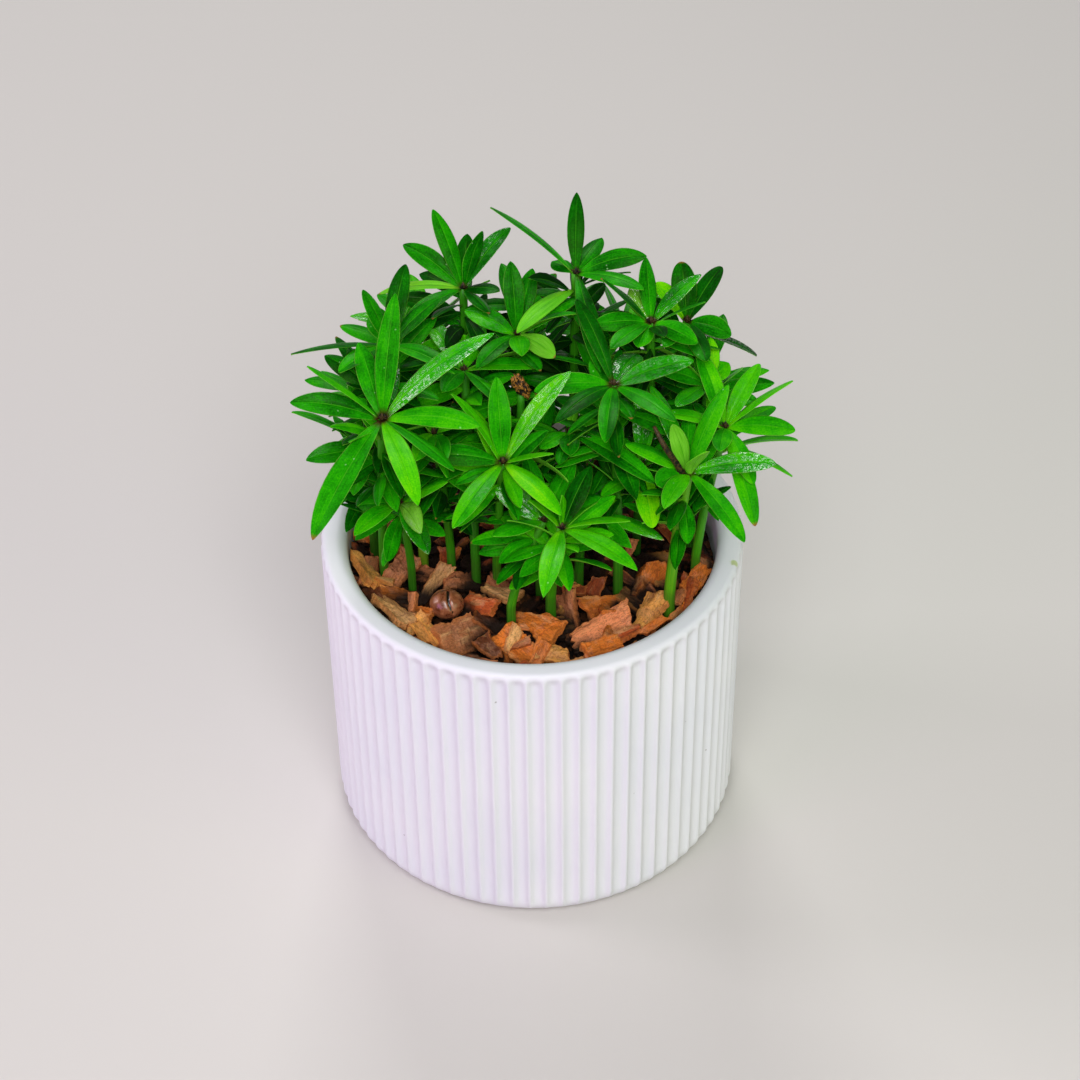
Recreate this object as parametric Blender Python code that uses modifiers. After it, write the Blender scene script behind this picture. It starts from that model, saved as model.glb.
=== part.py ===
"""A pot of buddhist pine seedlings: fluted ceramic pot, soil, bark mulch, a seed and the seedlings."""

import math
import random

import bmesh
import bpy
from mathutils import Matrix, Vector
from mathutils.bvhtree import BVHTree

MM = 0.001
GAP = 0.3 * MM
SLIVER = 0.002 * MM
SHARP_FROM = math.radians(32)

# Pot
POT_RADIUS = 60 * MM
POT_HEIGHT = 100 * MM
WALL = 7.5 * MM
FLOOR = 8 * MM
FLOOR_ROUND = 4 * MM
LIP_OUTER = 1.2 * MM
LIP_INNER = 3.4 * MM
FOOT_ROUND = 8 * MM
FLUTES = 78
POINTS_PER_FLUTE = 2
FLUTE_DEPTH = 1.1 * MM
FLUTE_ARCH = 2 * MM
FLUTE_SPAN = (0.1, 0.9)
FLUTE_TURN = math.radians(0.33)
BORE = POT_RADIUS - WALL
BORE_STEPS = 48

# Soil and bark
FILL_RADIUS = BORE - 0.4 * MM
FILL_STEPS = 48
SOIL_TOP = 84 * MM
BED_BOTTOM = SOIL_TOP + GAP
BED_TOP = 89 * MM
CHIP_COUNT = 34
CHIP_LENGTH = (13 * MM, 19 * MM)
CHIP_WIDTH = (8 * MM, 12 * MM)
CHIP_THICKNESS = 2.6 * MM
CHIP_LEVEL = (89.2 * MM, 91.4 * MM)
CHIP_TILT = 22
CHIP_CORNERS = (1.0, 0.72, 0.9, 0.66, 1.0)
CHIP_SEED = 11

# Seed in the mulch
SEED_RADII = (4.9 * MM, 4.6 * MM, 4.2 * MM)
SEED_PLACE = (-24 * MM, -23.9 * MM, 93.4 * MM)
SEED_SIDES = 16

# Stems
STEM_RADIUS = 1.7 * MM
STEM_BOTTOM = 74 * MM
STEM_FREE = 97 * MM
STEM_LEAN = 1.3
HOLE_RADIUS = 2.35 * MM
HOLE_SIDES = 6
BUD_RADIUS = 2.2 * MM
BUD_HEIGHT = 2.8 * MM

# Leaves
LEAF_THICKNESS = 0.8 * MM
LEAF_ROOT = 0.9 * MM
LEAF_STATIONS = (0.0, 0.34, 0.7)
LEAF_BOW = 0.07
PETIOLE = 0.16
CLEARANCE = 0.7 * MM
OWN_LEAVES_FROM = 0.35
LIP_CLEAR = POT_HEIGHT + 2 * MM
MULCH_CLEAR = 96 * MM
RIM_ZONE = (48 * MM, 63 * MM)
GOLDEN_ANGLE = 137.5
NUDGES = (
    (0, 0), (0, 6), (0, -6), (8, 0), (-8, 0), (8, 7), (-8, 7), (8, -7), (-8, -7), (0, 13), (0, -13),
    (16, 0), (-16, 0), (16, 10), (-16, 10), (16, -10), (-16, -10), (24, 5), (-24, 5), (0, 20), (24, 15),
    (-24, 15),
)

LEFT_FACING = -35
RIGHT_FACING = 35
LEFT_EDGE_ON = 45
RIGHT_EDGE_ON = -45


def leaf(heading, rise, length, roll=0, drop=0):
    """One leaf: degrees from +X, degrees above level, length in mm, degrees of roll, mm below the crown."""
    return heading, rise, length * MM, roll, drop * MM


def ring(count, turn, rise, length, drop=0):
    """A whorl by rule: leaves a golden angle apart, each a little unlike the last, drop mm down the stem."""
    draw = random.Random(count * turn + length)
    leaves = []
    for i in range(count):
        leaves.append(leaf(
            turn + GOLDEN_ANGLE * i + draw.uniform(-8, 8),
            rise + draw.uniform(-12, 12),
            length * draw.uniform(0.8, 1.1),
            draw.choice((0, 0, 20, -20, 50, -50)),
            drop * draw.uniform(0.7, 1.3) if drop else draw.choice((0, 0, 5)),
        ))
    return leaves


# Each seedling in mm: foot on the mulch (x, y), crown (x, y, z), leaf width and the leaves that the
# photo shows. -Y is the front.
SEEDLINGS = {
    "seedling_01": ((-42, -8), (-39.3, -16, 154), 6.8, [
        leaf(75, 58, 33), leaf(18, 36, 37, 15), leaf(343, 11, 27, 25), leaf(289, -5, 32),
        leaf(317, -6, 25.5, RIGHT_EDGE_ON), leaf(245, -16, 40), leaf(181, 17, 24, LEFT_FACING),
        leaf(171, 39, 24, LEFT_EDGE_ON), leaf(110, 30, 22),
    ]),
    "seedling_02": ((-10, -12), (-7.5, -18, 140.1), 6.6, [
        leaf(98, 58, 22.5), leaf(28, 49, 30.5, 8), leaf(243, -4, 26.5), leaf(309, -5, 23.5),
        leaf(353, 21, 13.5, RIGHT_EDGE_ON), leaf(146, 49, 22.5, LEFT_EDGE_ON),
        leaf(180, 8, 21, LEFT_FACING), leaf(126, 57, 19, LEFT_EDGE_ON, 5),
    ]),
    "seedling_03": ((5, -25), (8.1, -34, 130.4), 6.6, [
        leaf(258, -2, 25), leaf(319, 1, 25), leaf(89, 64, 8.5, 70), leaf(157, 40, 11, LEFT_EDGE_ON),
        leaf(358, 12, 17.5, RIGHT_EDGE_ON), leaf(60, 35, 18),
    ]),
    "seedling_04": ((46, -10), (52.8, -6, 141.4), 6.0, [
        leaf(51, 38, 19), leaf(15, 33, 21.5, RIGHT_EDGE_ON), leaf(345, 8, 18.5, RIGHT_FACING),
        leaf(340, -12, 20.5, RIGHT_EDGE_ON, 6), leaf(284, -24, 29.5), leaf(261, 19, 16),
        leaf(289, -16, 19), leaf(110, 38, 22), leaf(190, 25, 18), leaf(39, 7, 19, 0, 5),
        leaf(5, 6, 21, RIGHT_EDGE_ON, 8),
    ]),
    "seedling_05": ((38, -24), (42.2, -20, 137.5), 6.2, [
        leaf(224, 14, 12, -20), leaf(128, 63, 13.5), leaf(301, 63, 13), leaf(301, -9, 27),
        leaf(347, 17, 23.5, RIGHT_FACING), leaf(46, 56, 25.5), leaf(250, 5, 20), leaf(170, 25, 18),
        leaf(114, 33, 25.5, 20),
    ]),
    "seedling_06": ((-45, 1), (-43.9, -6, 134.8), 6.4, [
        leaf(202, 7, 17.5, LEFT_FACING), leaf(169, 30, 23, LEFT_EDGE_ON), leaf(251, -17, 14),
        leaf(105, 35, 26), leaf(340, 16, 20),
    ]),
    "seedling_07": ((-34, -13), (-35.9, -19, 126.8), 6.4, [
        leaf(227, 2, 16.5), leaf(196, 9, 10.5, LEFT_FACING), leaf(294, -5, 20), leaf(288, 22, 20, 50),
        leaf(347, 37, 16.5), leaf(20, 20, 24), leaf(110, 30, 20),
    ]),
    "seedling_08": ((24, -15), (22.6, -4, 154.9), 6.4, [
        leaf(63, 4, 13.5), leaf(358, 22, 22, RIGHT_FACING), leaf(117, 39, 25),
        leaf(190, 6, 21, LEFT_FACING), leaf(225, 5, 22), leaf(262, 4, 24), leaf(310, 6, 24),
    ]),
    "seedling_09": ((12, 26), (13, 30, 167.1), 6.2, [
        leaf(90, 43, 22), leaf(146, 22, 29.5, LEFT_EDGE_ON), leaf(357, 21, 19.5, RIGHT_FACING),
        leaf(143, 3, 7.5), leaf(281, -14, 32), leaf(232, 5, 26.5, 0, 5), leaf(325, 12, 22), leaf(60, 8, 15),
    ]),
    "seedling_10": ((-18, 24), (-18.1, 28, 164), 6.2, [
        leaf(120, 49, 22.5), leaf(82, 47, 14.5), leaf(47, 31, 21), leaf(53, 58, 16, 75),
        leaf(149, 24, 20, LEFT_FACING), leaf(223, -4, 21), leaf(331, 16, 11),
        leaf(313, 4, 12, RIGHT_EDGE_ON), leaf(174, -7, 23, 10),
    ]),
    "seedling_11": ((34, 12), (33.1, 14, 162.1), 6.0, [
        leaf(191, 5, 15.5, LEFT_FACING), leaf(232, 8, 17.5), leaf(157, 38, 17.5, LEFT_EDGE_ON),
        leaf(116, 28, 11.5), leaf(111, 38, 18, LEFT_EDGE_ON), leaf(321, 1, 15, RIGHT_FACING),
        leaf(250, 0, 10.5), leaf(30, 35, 18),
    ]),
    "seedling_12": ((36, 24), (43.5, 23, 155.4), 6.4, [
        leaf(51, 34, 17.5), leaf(95, 47, 16), leaf(133, 45, 13), leaf(329, 5, 13, RIGHT_FACING),
        leaf(337, -3, 20.5, RIGHT_EDGE_ON, 4), leaf(280, 5, 20), leaf(225, 12, 18),
    ]),
    "seedling_13": ((-37, 6), (-37.7, 8, 160.1), 6.4, [
        leaf(77, 41, 22), leaf(125, 44, 16, LEFT_EDGE_ON), leaf(124, 22, 10),
        leaf(197, 7, 26.5, LEFT_EDGE_ON), leaf(30, 28, 18), leaf(262, -5, 20), leaf(320, 5, 22),
        leaf(225, 12, 18),
    ]),
    "seedling_14": ((-5, 15), (-3.4, 18, 155.5), 6.2, [
        leaf(31, 21, 20), leaf(167, 31, 15, LEFT_FACING), leaf(313, 5, 14.5, 30), leaf(70, 45, 18),
        leaf(97, 51, 19.5), leaf(235, 2, 18), leaf(275, 15, 14), leaf(350, 32, 18, RIGHT_EDGE_ON),
    ]),
    "seedling_15": ((-6, -29), (3.3, -25, 125), 6.4, [
        leaf(156, 30, 15, LEFT_FACING), leaf(215, 12, 16), leaf(60, 30, 18), leaf(110, 40, 18),
        leaf(15, 20, 16),
    ]),
    "seedling_16": ((13, -15), (14.4, -14, 118.7), 5.4, [
        leaf(328, 2, 24), leaf(308, 1, 19, 50), leaf(292, 8, 18, 50), leaf(156, 41, 15), leaf(8, 19, 10),
        leaf(53, 34, 18), leaf(255, 14, 15, 40), leaf(21, 9, 20),
    ]),
    "seedling_17": ((-31, -4), (-42, -2, 152.6), 6.2, [
        leaf(154, 27, 15.5, -20), leaf(133, 34, 13, LEFT_EDGE_ON), leaf(123, 24, 23, LEFT_EDGE_ON, 5),
        leaf(153, 20, 7, LEFT_EDGE_ON), leaf(330, 15, 20),
    ]),
    "seedling_18": ((45, 3), (49, 8, 145), 6.0, [
        leaf(85, 42, 12.5), leaf(46, 21, 8, 20), leaf(100, 25, 10),
    ]),
    "seedling_19": ((30, 4), (30, -10, 131.6), 6.0, [
        leaf(85, 54, 22, 20), leaf(275, -12, 20.5), leaf(349, 41, 16.5), leaf(80, 45, 18),
        leaf(20, 30, 20),
    ]),
    "seedling_20": ((-23, -7), (-26, -9, 143), 6.0, []),
    "seedling_21": ((2, -14), (0, -8, 133), 6.0, []),
    "seedling_22": ((-16, -9.5), (-17.9, 8, 151.1), 6.0, []),
    "seedling_23": ((14, 6), (10.5, -5, 139.5), 6.0, [
        leaf(76, 33, 7, 30), leaf(1, 23, 18), leaf(319, -4, 29, 20), leaf(216, -6, 9), leaf(270, 1, 9),
        leaf(336, 5, 7.5, RIGHT_EDGE_ON),
    ]),
    "seedling_24": ((-30, 18), (-34, 22, 146), 6.0, []),
    "seedling_25": ((0, 35), (-2, 42, 141), 6.2, []),
    "seedling_26": ((22, 36), (28, 43, 139), 6.2, []),
    "seedling_27": ((-24, 36), (-30, 42, 138), 6.2, []),
    "seedling_28": ((43, 19), (50, 24, 137), 6.0, []),
    "seedling_29": ((-42, 15), (-47, 20, 134), 6.0, []),
}

# Further whorls by rule: count, turn, rise, length in mm and how far below the crown
WHORLS = {
    "seedling_08": ((5, 10, 0, 20, 20),), "seedling_09": ((4, 20, 0, 20, 22),),
    "seedling_10": ((4, 50, 0, 20, 24),), "seedling_11": ((4, 90, 0, 19, 22),),
    "seedling_12": ((3, 140, 0, 17, 18),), "seedling_13": ((4, 70, 0, 19, 22),),
    "seedling_14": ((5, 35, 0, 20, 22),), "seedling_17": ((3, 80, 0, 18, 16),),
    "seedling_18": ((8, 50, 18, 18, 0), (3, 200, 0, 17, 14)), "seedling_19": ((4, 45, 0, 18, 12),),
    "seedling_20": ((8, 20, 10, 22, 0), (3, 300, 0, 18, 14)), "seedling_21": ((8, 75, 12, 21, 0),),
    "seedling_22": ((8, 110, 12, 20, 0), (4, 30, 0, 20, 18)), "seedling_23": ((5, 130, 0, 18, 10),),
    "seedling_24": ((8, 160, 15, 20, 0), (3, 60, 0, 19, 18)),
    "seedling_25": ((9, 85, 10, 21, 0), (3, 40, 0, 20, 16)),
    "seedling_26": ((9, 60, 10, 21, 0), (3, 110, 0, 20, 16)),
    "seedling_27": ((9, 130, 12, 22, 0), (3, 20, 0, 20, 16)), "seedling_28": ((8, 15, 10, 18, 0),),
    "seedling_29": ((8, 170, 10, 18, 0),),
}

# The sprout that still wears its dried seed coat, and the young brown shoot of one seedling
SPROUT_FOOT = (-4, -4)
SPROUT_TOP = (-2.4, -1, 149.7)
HUSK_RADII = (2.1 * MM, 2.1 * MM, 4.6 * MM)
HUSK_TILT = math.radians(-28)
SHOOT_OWNER = "seedling_05"
SHOOT_STEPS = ((0, 0, 1.5), (-3, 3, 4.5), (-7, 6, 7.5), (-9.5, 9, 11))
SHOOT_RADIUS = 0.8 * MM

LEAF_GREEN = (0.035, 0.30, 0.012, 1)
CERAMIC_WHITE = (0.80, 0.80, 0.83, 1)
SOIL_BROWN = (0.018, 0.011, 0.007, 1)
BARK_BROWN = (0.33, 0.13, 0.055, 1)
SEED_BROWN = (0.13, 0.035, 0.015, 1)


def clear_scene():
    for old in list(bpy.data.objects):
        bpy.data.objects.remove(old)


def material(name, colour, roughness):
    made = bpy.data.materials.new(name)
    made.use_nodes = True
    shader = made.node_tree.nodes["Principled BSDF"]
    shader.inputs["Base Color"].default_value = colour
    shader.inputs["Roughness"].default_value = roughness
    return made


def new_object(name, mesh, finish, group):
    made = bpy.data.objects.new(name, mesh)
    mesh.materials.clear()
    mesh.materials.append(finish)
    group.objects.link(made)
    return made


def object_from(name, vertices, faces, finish, group):
    mesh = bpy.data.meshes.new(name)
    mesh.from_pydata(vertices, [], faces)
    form = bmesh.new()
    form.from_mesh(mesh)
    bmesh.ops.recalc_face_normals(form, faces=form.faces)
    form.to_mesh(mesh)
    form.free()
    return new_object(name, mesh, finish, group)


def bake(target):
    """Turns an object's modifiers into its mesh."""
    graph = bpy.context.evaluated_depsgraph_get()
    mesh = bpy.data.meshes.new_from_object(target.evaluated_get(graph))
    target.modifiers.clear()
    target.data = mesh


def smooth(target):
    """Shades a round piece smooth up to its sharp edges."""
    target.data.shade_smooth()
    target.data.set_sharp_from_angle(angle=SHARP_FROM)


def combine(target, pieces, operation):
    """One Boolean on a collection, baked, after which the collection and its objects go."""
    group = bpy.data.collections.new(target.name + "_pieces")
    bpy.context.scene.collection.children.link(group)
    for piece in pieces:
        group.objects.link(piece)
    boolean = target.modifiers.new(operation.lower(), "BOOLEAN")
    boolean.operation = operation
    boolean.operand_type = "COLLECTION"
    boolean.collection = group
    bake(target)
    for piece in pieces:
        bpy.data.objects.remove(piece)
    bpy.data.collections.remove(group)


def turned(name, profile, steps, finish, group):
    """A profile of (radius, height) points turned about Z, from the top down its outer side."""
    mesh = bpy.data.meshes.new(name)
    points = [(radius, 0, height) for radius, height in profile]
    mesh.from_pydata(points, [(i, i + 1) for i in range(len(points) - 1)], [])
    made = new_object(name, mesh, finish, group)
    screw = made.modifiers.new("turn", "SCREW")
    screw.steps = steps
    screw.render_steps = steps
    screw.use_merge_vertices = True
    screw.merge_threshold = 0.01 * MM
    bake(made)
    return made


def prism(name, x, y, bottom, top, radius, sides, finish, group):
    """An upright prism that cuts or stands, one corner towards +X."""
    mesh = bpy.data.meshes.new(name)
    form = bmesh.new()
    centre = Matrix.Translation((x, y, (bottom + top) / 2))
    bmesh.ops.create_cone(
        form, cap_ends=True, segments=sides, radius1=radius, radius2=radius, depth=top - bottom, matrix=centre
    )
    form.to_mesh(mesh)
    form.free()
    return new_object(name, mesh, finish, group)


def ellipsoid(name, place, radii, turn, finish, group, segments=12, rings=8):
    mesh = bpy.data.meshes.new(name)
    form = bmesh.new()
    shape = Matrix.Translation(place) @ turn @ Matrix.Diagonal((*radii, 1))
    bmesh.ops.create_uvsphere(form, u_segments=segments, v_segments=rings, radius=1, matrix=shape)
    form.to_mesh(mesh)
    form.free()
    return new_object(name, mesh, finish, group)


def make_pot(finish, group, cutters):
    """The fluted pot: a turned body whose wall is drawn in between the arrises, then hollowed."""
    top_of_flutes = POT_HEIGHT - LIP_OUTER
    profile = [
        (0, POT_HEIGHT),
        (POT_RADIUS - LIP_OUTER, POT_HEIGHT),
        (POT_RADIUS, top_of_flutes),
        (POT_RADIUS, top_of_flutes - FLUTE_ARCH),
        (POT_RADIUS, FOOT_ROUND),
        (POT_RADIUS - 0.3 * FOOT_ROUND, 0.3 * FOOT_ROUND),
        (POT_RADIUS - FOOT_ROUND, 0),
        (0, 0),
    ]
    pot = turned("pot", profile, FLUTES * POINTS_PER_FLUTE, finish, group)
    pitch = 2 * math.pi / FLUTES
    for vertex in pot.data.vertices:
        x, y, z = vertex.co
        if not 0.01 * MM < z < top_of_flutes - 0.01 * MM:
            continue
        across = (math.atan2(y, x) / pitch) % 1.0
        if FLUTE_SPAN[0] < across < FLUTE_SPAN[1]:
            depth = FLUTE_DEPTH if z > FOOT_ROUND / 2 else FLUTE_DEPTH / 2
            inward = 1 - depth / math.hypot(x, y)
            vertex.co.x *= inward
            vertex.co.y *= inward
    pot.rotation_euler.z = FLUTE_TURN
    cavity = turned("pot_cavity", [
        (0, POT_HEIGHT + LIP_INNER),
        (BORE + LIP_INNER, POT_HEIGHT + LIP_INNER),
        (BORE + LIP_INNER, POT_HEIGHT),
        (BORE, POT_HEIGHT - LIP_INNER),
        (BORE, FLOOR + FLOOR_ROUND),
        (BORE - FLOOR_ROUND, FLOOR),
        (0, FLOOR),
    ], BORE_STEPS, finish, cutters)
    cavity.hide_render = True
    cavity.display_type = "WIRE"
    hollow = pot.modifiers.new("hollow", "BOOLEAN")
    hollow.operation = "DIFFERENCE"
    hollow.object = cavity
    smooth(cavity)
    smooth(pot)


def stem_holes(name, feet, bottom, top, finish, group):
    return [
        prism(name, x, y, bottom, top, HOLE_RADIUS, HOLE_SIDES, finish, group) for x, y in feet
    ]


def make_soil(feet, finish, group, cutters):
    """Potting soil up to the bark, with a plain blind hole for each stem."""
    soil = turned("soil", [
        (0, SOIL_TOP),
        (FILL_RADIUS, SOIL_TOP),
        (FILL_RADIUS, FLOOR + FLOOR_ROUND),
        (FILL_RADIUS - FLOOR_ROUND, FLOOR + GAP),
        (0, FLOOR + GAP),
    ], FILL_STEPS, finish, group)
    holes = stem_holes("soil_hole", feet, STEM_BOTTOM - GAP, SOIL_TOP + 5 * MM, finish, cutters)
    combine(soil, holes, "DIFFERENCE")
    return soil


def chip_plan():
    """Where each bark chip lies: a sunflower pattern over the bed, so that chips cover it evenly."""
    draw = random.Random(CHIP_SEED)
    chips = []
    for i in range(CHIP_COUNT):
        reach = math.sqrt((i + 0.5) / CHIP_COUNT) * (FILL_RADIUS - 4 * MM)
        bearing = math.radians(GOLDEN_ANGLE * i)
        place = Vector((reach * math.cos(bearing), reach * math.sin(bearing), draw.uniform(*CHIP_LEVEL)))
        yaw = draw.uniform(0, 2 * math.pi)
        pitch = math.radians(draw.uniform(-CHIP_TILT, CHIP_TILT))
        roll = math.radians(draw.uniform(-CHIP_TILT, CHIP_TILT))
        size = draw.uniform(*CHIP_LENGTH), draw.uniform(*CHIP_WIDTH)
        chips.append((place, yaw, pitch, roll, size))
    return chips


def chip_vertices(place, yaw, pitch, roll, size):
    """A five-cornered slab of bark, drawn in where it would cross the pot's wall."""
    length, width = size
    turn = Matrix.Rotation(yaw, 3, "Z") @ Matrix.Rotation(pitch, 3, "Y") @ Matrix.Rotation(roll, 3, "X")
    count = len(CHIP_CORNERS)
    vertices = []
    for side in (-0.5, 0.5):
        for i, reach in enumerate(CHIP_CORNERS):
            angle = 2 * math.pi * i / count
            corner = Vector((
                reach * length / 2 * math.cos(angle),
                reach * width / 2 * math.sin(angle),
                side * CHIP_THICKNESS,
            ))
            spot = place + turn @ corner
            out = math.hypot(spot.x, spot.y) / (FILL_RADIUS - 0.1 * MM)
            if out > 1:
                spot.x /= out
                spot.y /= out
            spot.z = max(spot.z, BED_BOTTOM + 0.6 * MM)
            vertices.append(spot)
    return vertices


def make_bark(feet, finish, group, cutters):
    """The mulch: a thin bed with the chips lying in it, fused, and open where the stems and the seed are."""
    bed = turned("bark_mulch", [
        (0, BED_TOP), (FILL_RADIUS, BED_TOP), (FILL_RADIUS, BED_BOTTOM), (0, BED_BOTTOM),
    ], FILL_STEPS, finish, group)
    count = len(CHIP_CORNERS)
    lower = tuple(range(count))
    upper = tuple(range(count, 2 * count))
    sides = [(i, (i + 1) % count, count + (i + 1) % count, count + i) for i in range(count)]
    faces = [lower, upper, *sides]
    chips = [
        object_from("chip", chip_vertices(*chip), faces, finish, cutters) for chip in chip_plan()
    ]
    combine(bed, chips, "UNION")
    holes = stem_holes("bark_hole", feet, BED_BOTTOM - 2 * MM, STEM_FREE, finish, cutters)
    room = [radius + GAP for radius in SEED_RADII]
    holes.append(ellipsoid("seed_room", SEED_PLACE, room, Matrix(), finish, cutters))
    x, y, z = SEED_PLACE
    holes.append(prism("seed_way", x, y, z, POT_HEIGHT, room[0], SEED_SIDES, finish, cutters))
    combine(bed, holes, "DIFFERENCE")
    keep_largest(bed)
    return bed


def make_seed(finish, group):
    return ellipsoid("seed", SEED_PLACE, SEED_RADII, Matrix(), finish, group)


def stem_path(foot, crown):
    """A stem from its hole to its crown: upright in the soil, then leaning over ever more."""
    start = Vector((foot[0] * MM, foot[1] * MM, STEM_FREE))
    end = Vector(crown) * MM
    points = [Vector((start.x, start.y, STEM_BOTTOM)), start]
    for share in (0.4, 1.0):
        lean = share ** STEM_LEAN
        points.append(Vector((
            start.x + (end.x - start.x) * lean,
            start.y + (end.y - start.y) * lean,
            start.z + (end.z - start.z) * share,
        )))
    return points


def tube(name, points, radii, finish, group):
    """A round stem through the points, one radius for each, as a mesh with welded caps."""
    curve = bpy.data.curves.new(name, "CURVE")
    curve.dimensions = "3D"
    curve.bevel_depth = 1
    curve.bevel_resolution = 1
    curve.use_fill_caps = True
    spline = curve.splines.new("POLY")
    spline.points.add(len(points) - 1)
    for knot, point, radius in zip(spline.points, points, radii):
        knot.co = (*point, 1)
        knot.radius = radius
    rod = bpy.data.objects.new("rod", curve)
    bpy.context.scene.collection.objects.link(rod)
    graph = bpy.context.evaluated_depsgraph_get()
    mesh = bpy.data.meshes.new_from_object(rod.evaluated_get(graph))
    made = new_object(name, mesh, finish, group)
    made.matrix_world = rod.matrix_world
    bpy.data.objects.remove(rod)
    form = bmesh.new()
    form.from_mesh(mesh)
    bmesh.ops.remove_doubles(form, verts=form.verts, dist=0.01 * MM)
    bmesh.ops.recalc_face_normals(form, faces=form.faces)
    form.to_mesh(mesh)
    form.free()
    return made


def seedling_stem(name, foot, crown, finish, group):
    """The stem, which swells into the bud that the leaves grow from."""
    points = stem_path(foot, crown)
    tip = points[-1] + (points[-1] - points[-2]).normalized() * BUD_HEIGHT
    below = points[-1] + (points[-2] - points[-1]).normalized() * BUD_HEIGHT
    points.insert(-1, below)
    radii = [STEM_RADIUS, STEM_RADIUS, 0.95 * STEM_RADIUS, 0.9 * STEM_RADIUS, BUD_RADIUS]
    return tube(name, points + [tip], radii + [0.3 * BUD_RADIUS], finish, group)


def leaf_outline(share):
    """Half-width along the leaf as a share of its greatest: a stalk, widest past the middle, a point."""
    return max(PETIOLE, math.sin(math.pi * share ** 1.3) ** 0.8) if share < 1 else 0


def leaf_shape(root, blade, width, extra=0.0, start=0.0):
    """Vertices and faces of a coarse blade: three-cornered sections along a bowed line, then a point."""
    heading, rise, length, roll, _ = blade
    heading, rise = math.radians(heading), math.radians(rise)
    along = Vector((math.cos(heading) * math.cos(rise), math.sin(heading) * math.cos(rise), math.sin(rise)))
    level = Vector((-math.sin(heading), math.cos(heading), 0))
    lift = along.cross(level)
    turn = Matrix.Rotation(math.radians(roll), 3, along)
    side, face = turn @ level, turn @ lift
    half_thick = LEAF_THICKNESS / 2 + extra

    def centre(share):
        return root + along * length * share + lift * length * LEAF_BOW * 4 * share * (1 - share)

    vertices = []
    stations = [start + (1 - start) * share for share in LEAF_STATIONS]
    for share in stations:
        middle = centre(share)
        half = width / 2 * leaf_outline(share) + extra
        under = middle - face * half_thick
        vertices += [under - side * half, middle + face * half_thick, under + side * half]
    vertices.append(centre(1) + along * extra)
    faces = [(0, 1, 2)]
    last = 3 * (len(stations) - 1)
    for near in range(0, last, 3):
        for j in range(3):
            k = (j + 1) % 3
            faces += [(near + j, near + 3 + j, near + 3 + k), (near + j, near + 3 + k, near + k)]
    faces += [(last + j, len(vertices) - 1, last + (j + 1) % 3) for j in range(3)]
    return vertices, faces


def above_pot(vertices):
    """True where a blade stays above the lip, and above the mulch inside it."""
    for spot in vertices:
        out = math.hypot(spot.x, spot.y)
        if RIM_ZONE[0] < out < RIM_ZONE[1] and spot.z < LIP_CLEAR:
            return False
        if out <= RIM_ZONE[0] and spot.z < MULCH_CLEAR:
            return False
    return True


def leaf_root(path, drop, heading):
    """Where a leaf leaves the stem, just inside its skin."""
    down = (path[-2] - path[-1]).normalized()
    out = Vector((math.cos(math.radians(heading)), math.sin(math.radians(heading)), 0))
    return path[-1] + down * drop + out * LEAF_ROOT


def grow_leaves(paths, stem_trees):
    """Places the leaves that the photo shows, then the whorls, turned a little where they would touch."""
    grown = {name: [] for name in SEEDLINGS}
    own = {name: [] for name in SEEDLINGS}
    forms = {name: ([], []) for name in SEEDLINGS}
    taken = {}
    seen = [(name, plan[3]) for name, plan in SEEDLINGS.items()]
    by_rule = [
        (name, [blade for whorl in whorls for blade in ring(*whorl)]) for name, whorls in WHORLS.items()
    ]
    for name, blades in seen + by_rule:
        width = SEEDLINGS[name][2] * MM
        vertices, faces = forms[name]
        others = [tree for other, tree in stem_trees.items() if other != name]
        others += [tree for other, tree in taken.items() if other != name]
        for heading, rise, length, roll, drop in blades:
            for turn, lift in NUDGES:
                root = leaf_root(paths[name], drop, heading + turn)
                blade = (heading + turn, rise + lift, length, roll, drop)
                wide = leaf_shape(root, blade, width, CLEARANCE)
                if not above_pot(wide[0]):
                    continue
                tree = BVHTree.FromPolygons(*wide)
                outer = BVHTree.FromPolygons(*leaf_shape(root, blade, width, 0, OWN_LEAVES_FROM))
                if any(tree.overlap(other) for other in others):
                    continue
                if any(outer.overlap(other) for other in own[name]):
                    continue
                coarse = leaf_shape(root, blade, width)
                faces += [tuple(len(vertices) + k for k in face) for face in coarse[1]]
                vertices += coarse[0]
                own[name].append(outer)
                grown[name].append((root, blade, width))
                break
        if faces:
            taken[name] = BVHTree.FromPolygons(vertices, faces)
    return grown


def tree_of(made):
    vertices = [vertex.co.copy() for vertex in made.data.vertices]
    return BVHTree.FromPolygons(vertices, [tuple(face.vertices) for face in made.data.polygons])


def keep_largest(made):
    """Merges the slivers that a Boolean leaves, and drops scraps that no edge joins to the main body."""
    form = bmesh.new()
    form.from_mesh(made.data)
    bmesh.ops.remove_doubles(form, verts=form.verts, dist=SLIVER)
    bmesh.ops.dissolve_degenerate(form, edges=form.edges, dist=SLIVER)
    bodies = []
    waiting = set(form.faces)
    while waiting:
        body, rim = [], [waiting.pop()]
        while rim:
            face = rim.pop()
            body.append(face)
            for edge in face.edges:
                for far in edge.link_faces:
                    if far in waiting:
                        waiting.discard(far)
                        rim.append(far)
        bodies.append(body)
    bodies.sort(key=len)
    scraps = [face for body in bodies[:-1] for face in body]
    bmesh.ops.delete(form, geom=scraps, context="FACES")
    form.to_mesh(made.data)
    form.free()


def young_shoot(crown, finish, group):
    """The brown leafless shoot beside one crown."""
    points = [crown + Vector(step) * MM for step in SHOOT_STEPS]
    radii = [share * SHOOT_RADIUS for share in (1.2, 1, 1, 0.7)]
    return tube("shoot", points, radii, finish, group)


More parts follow.
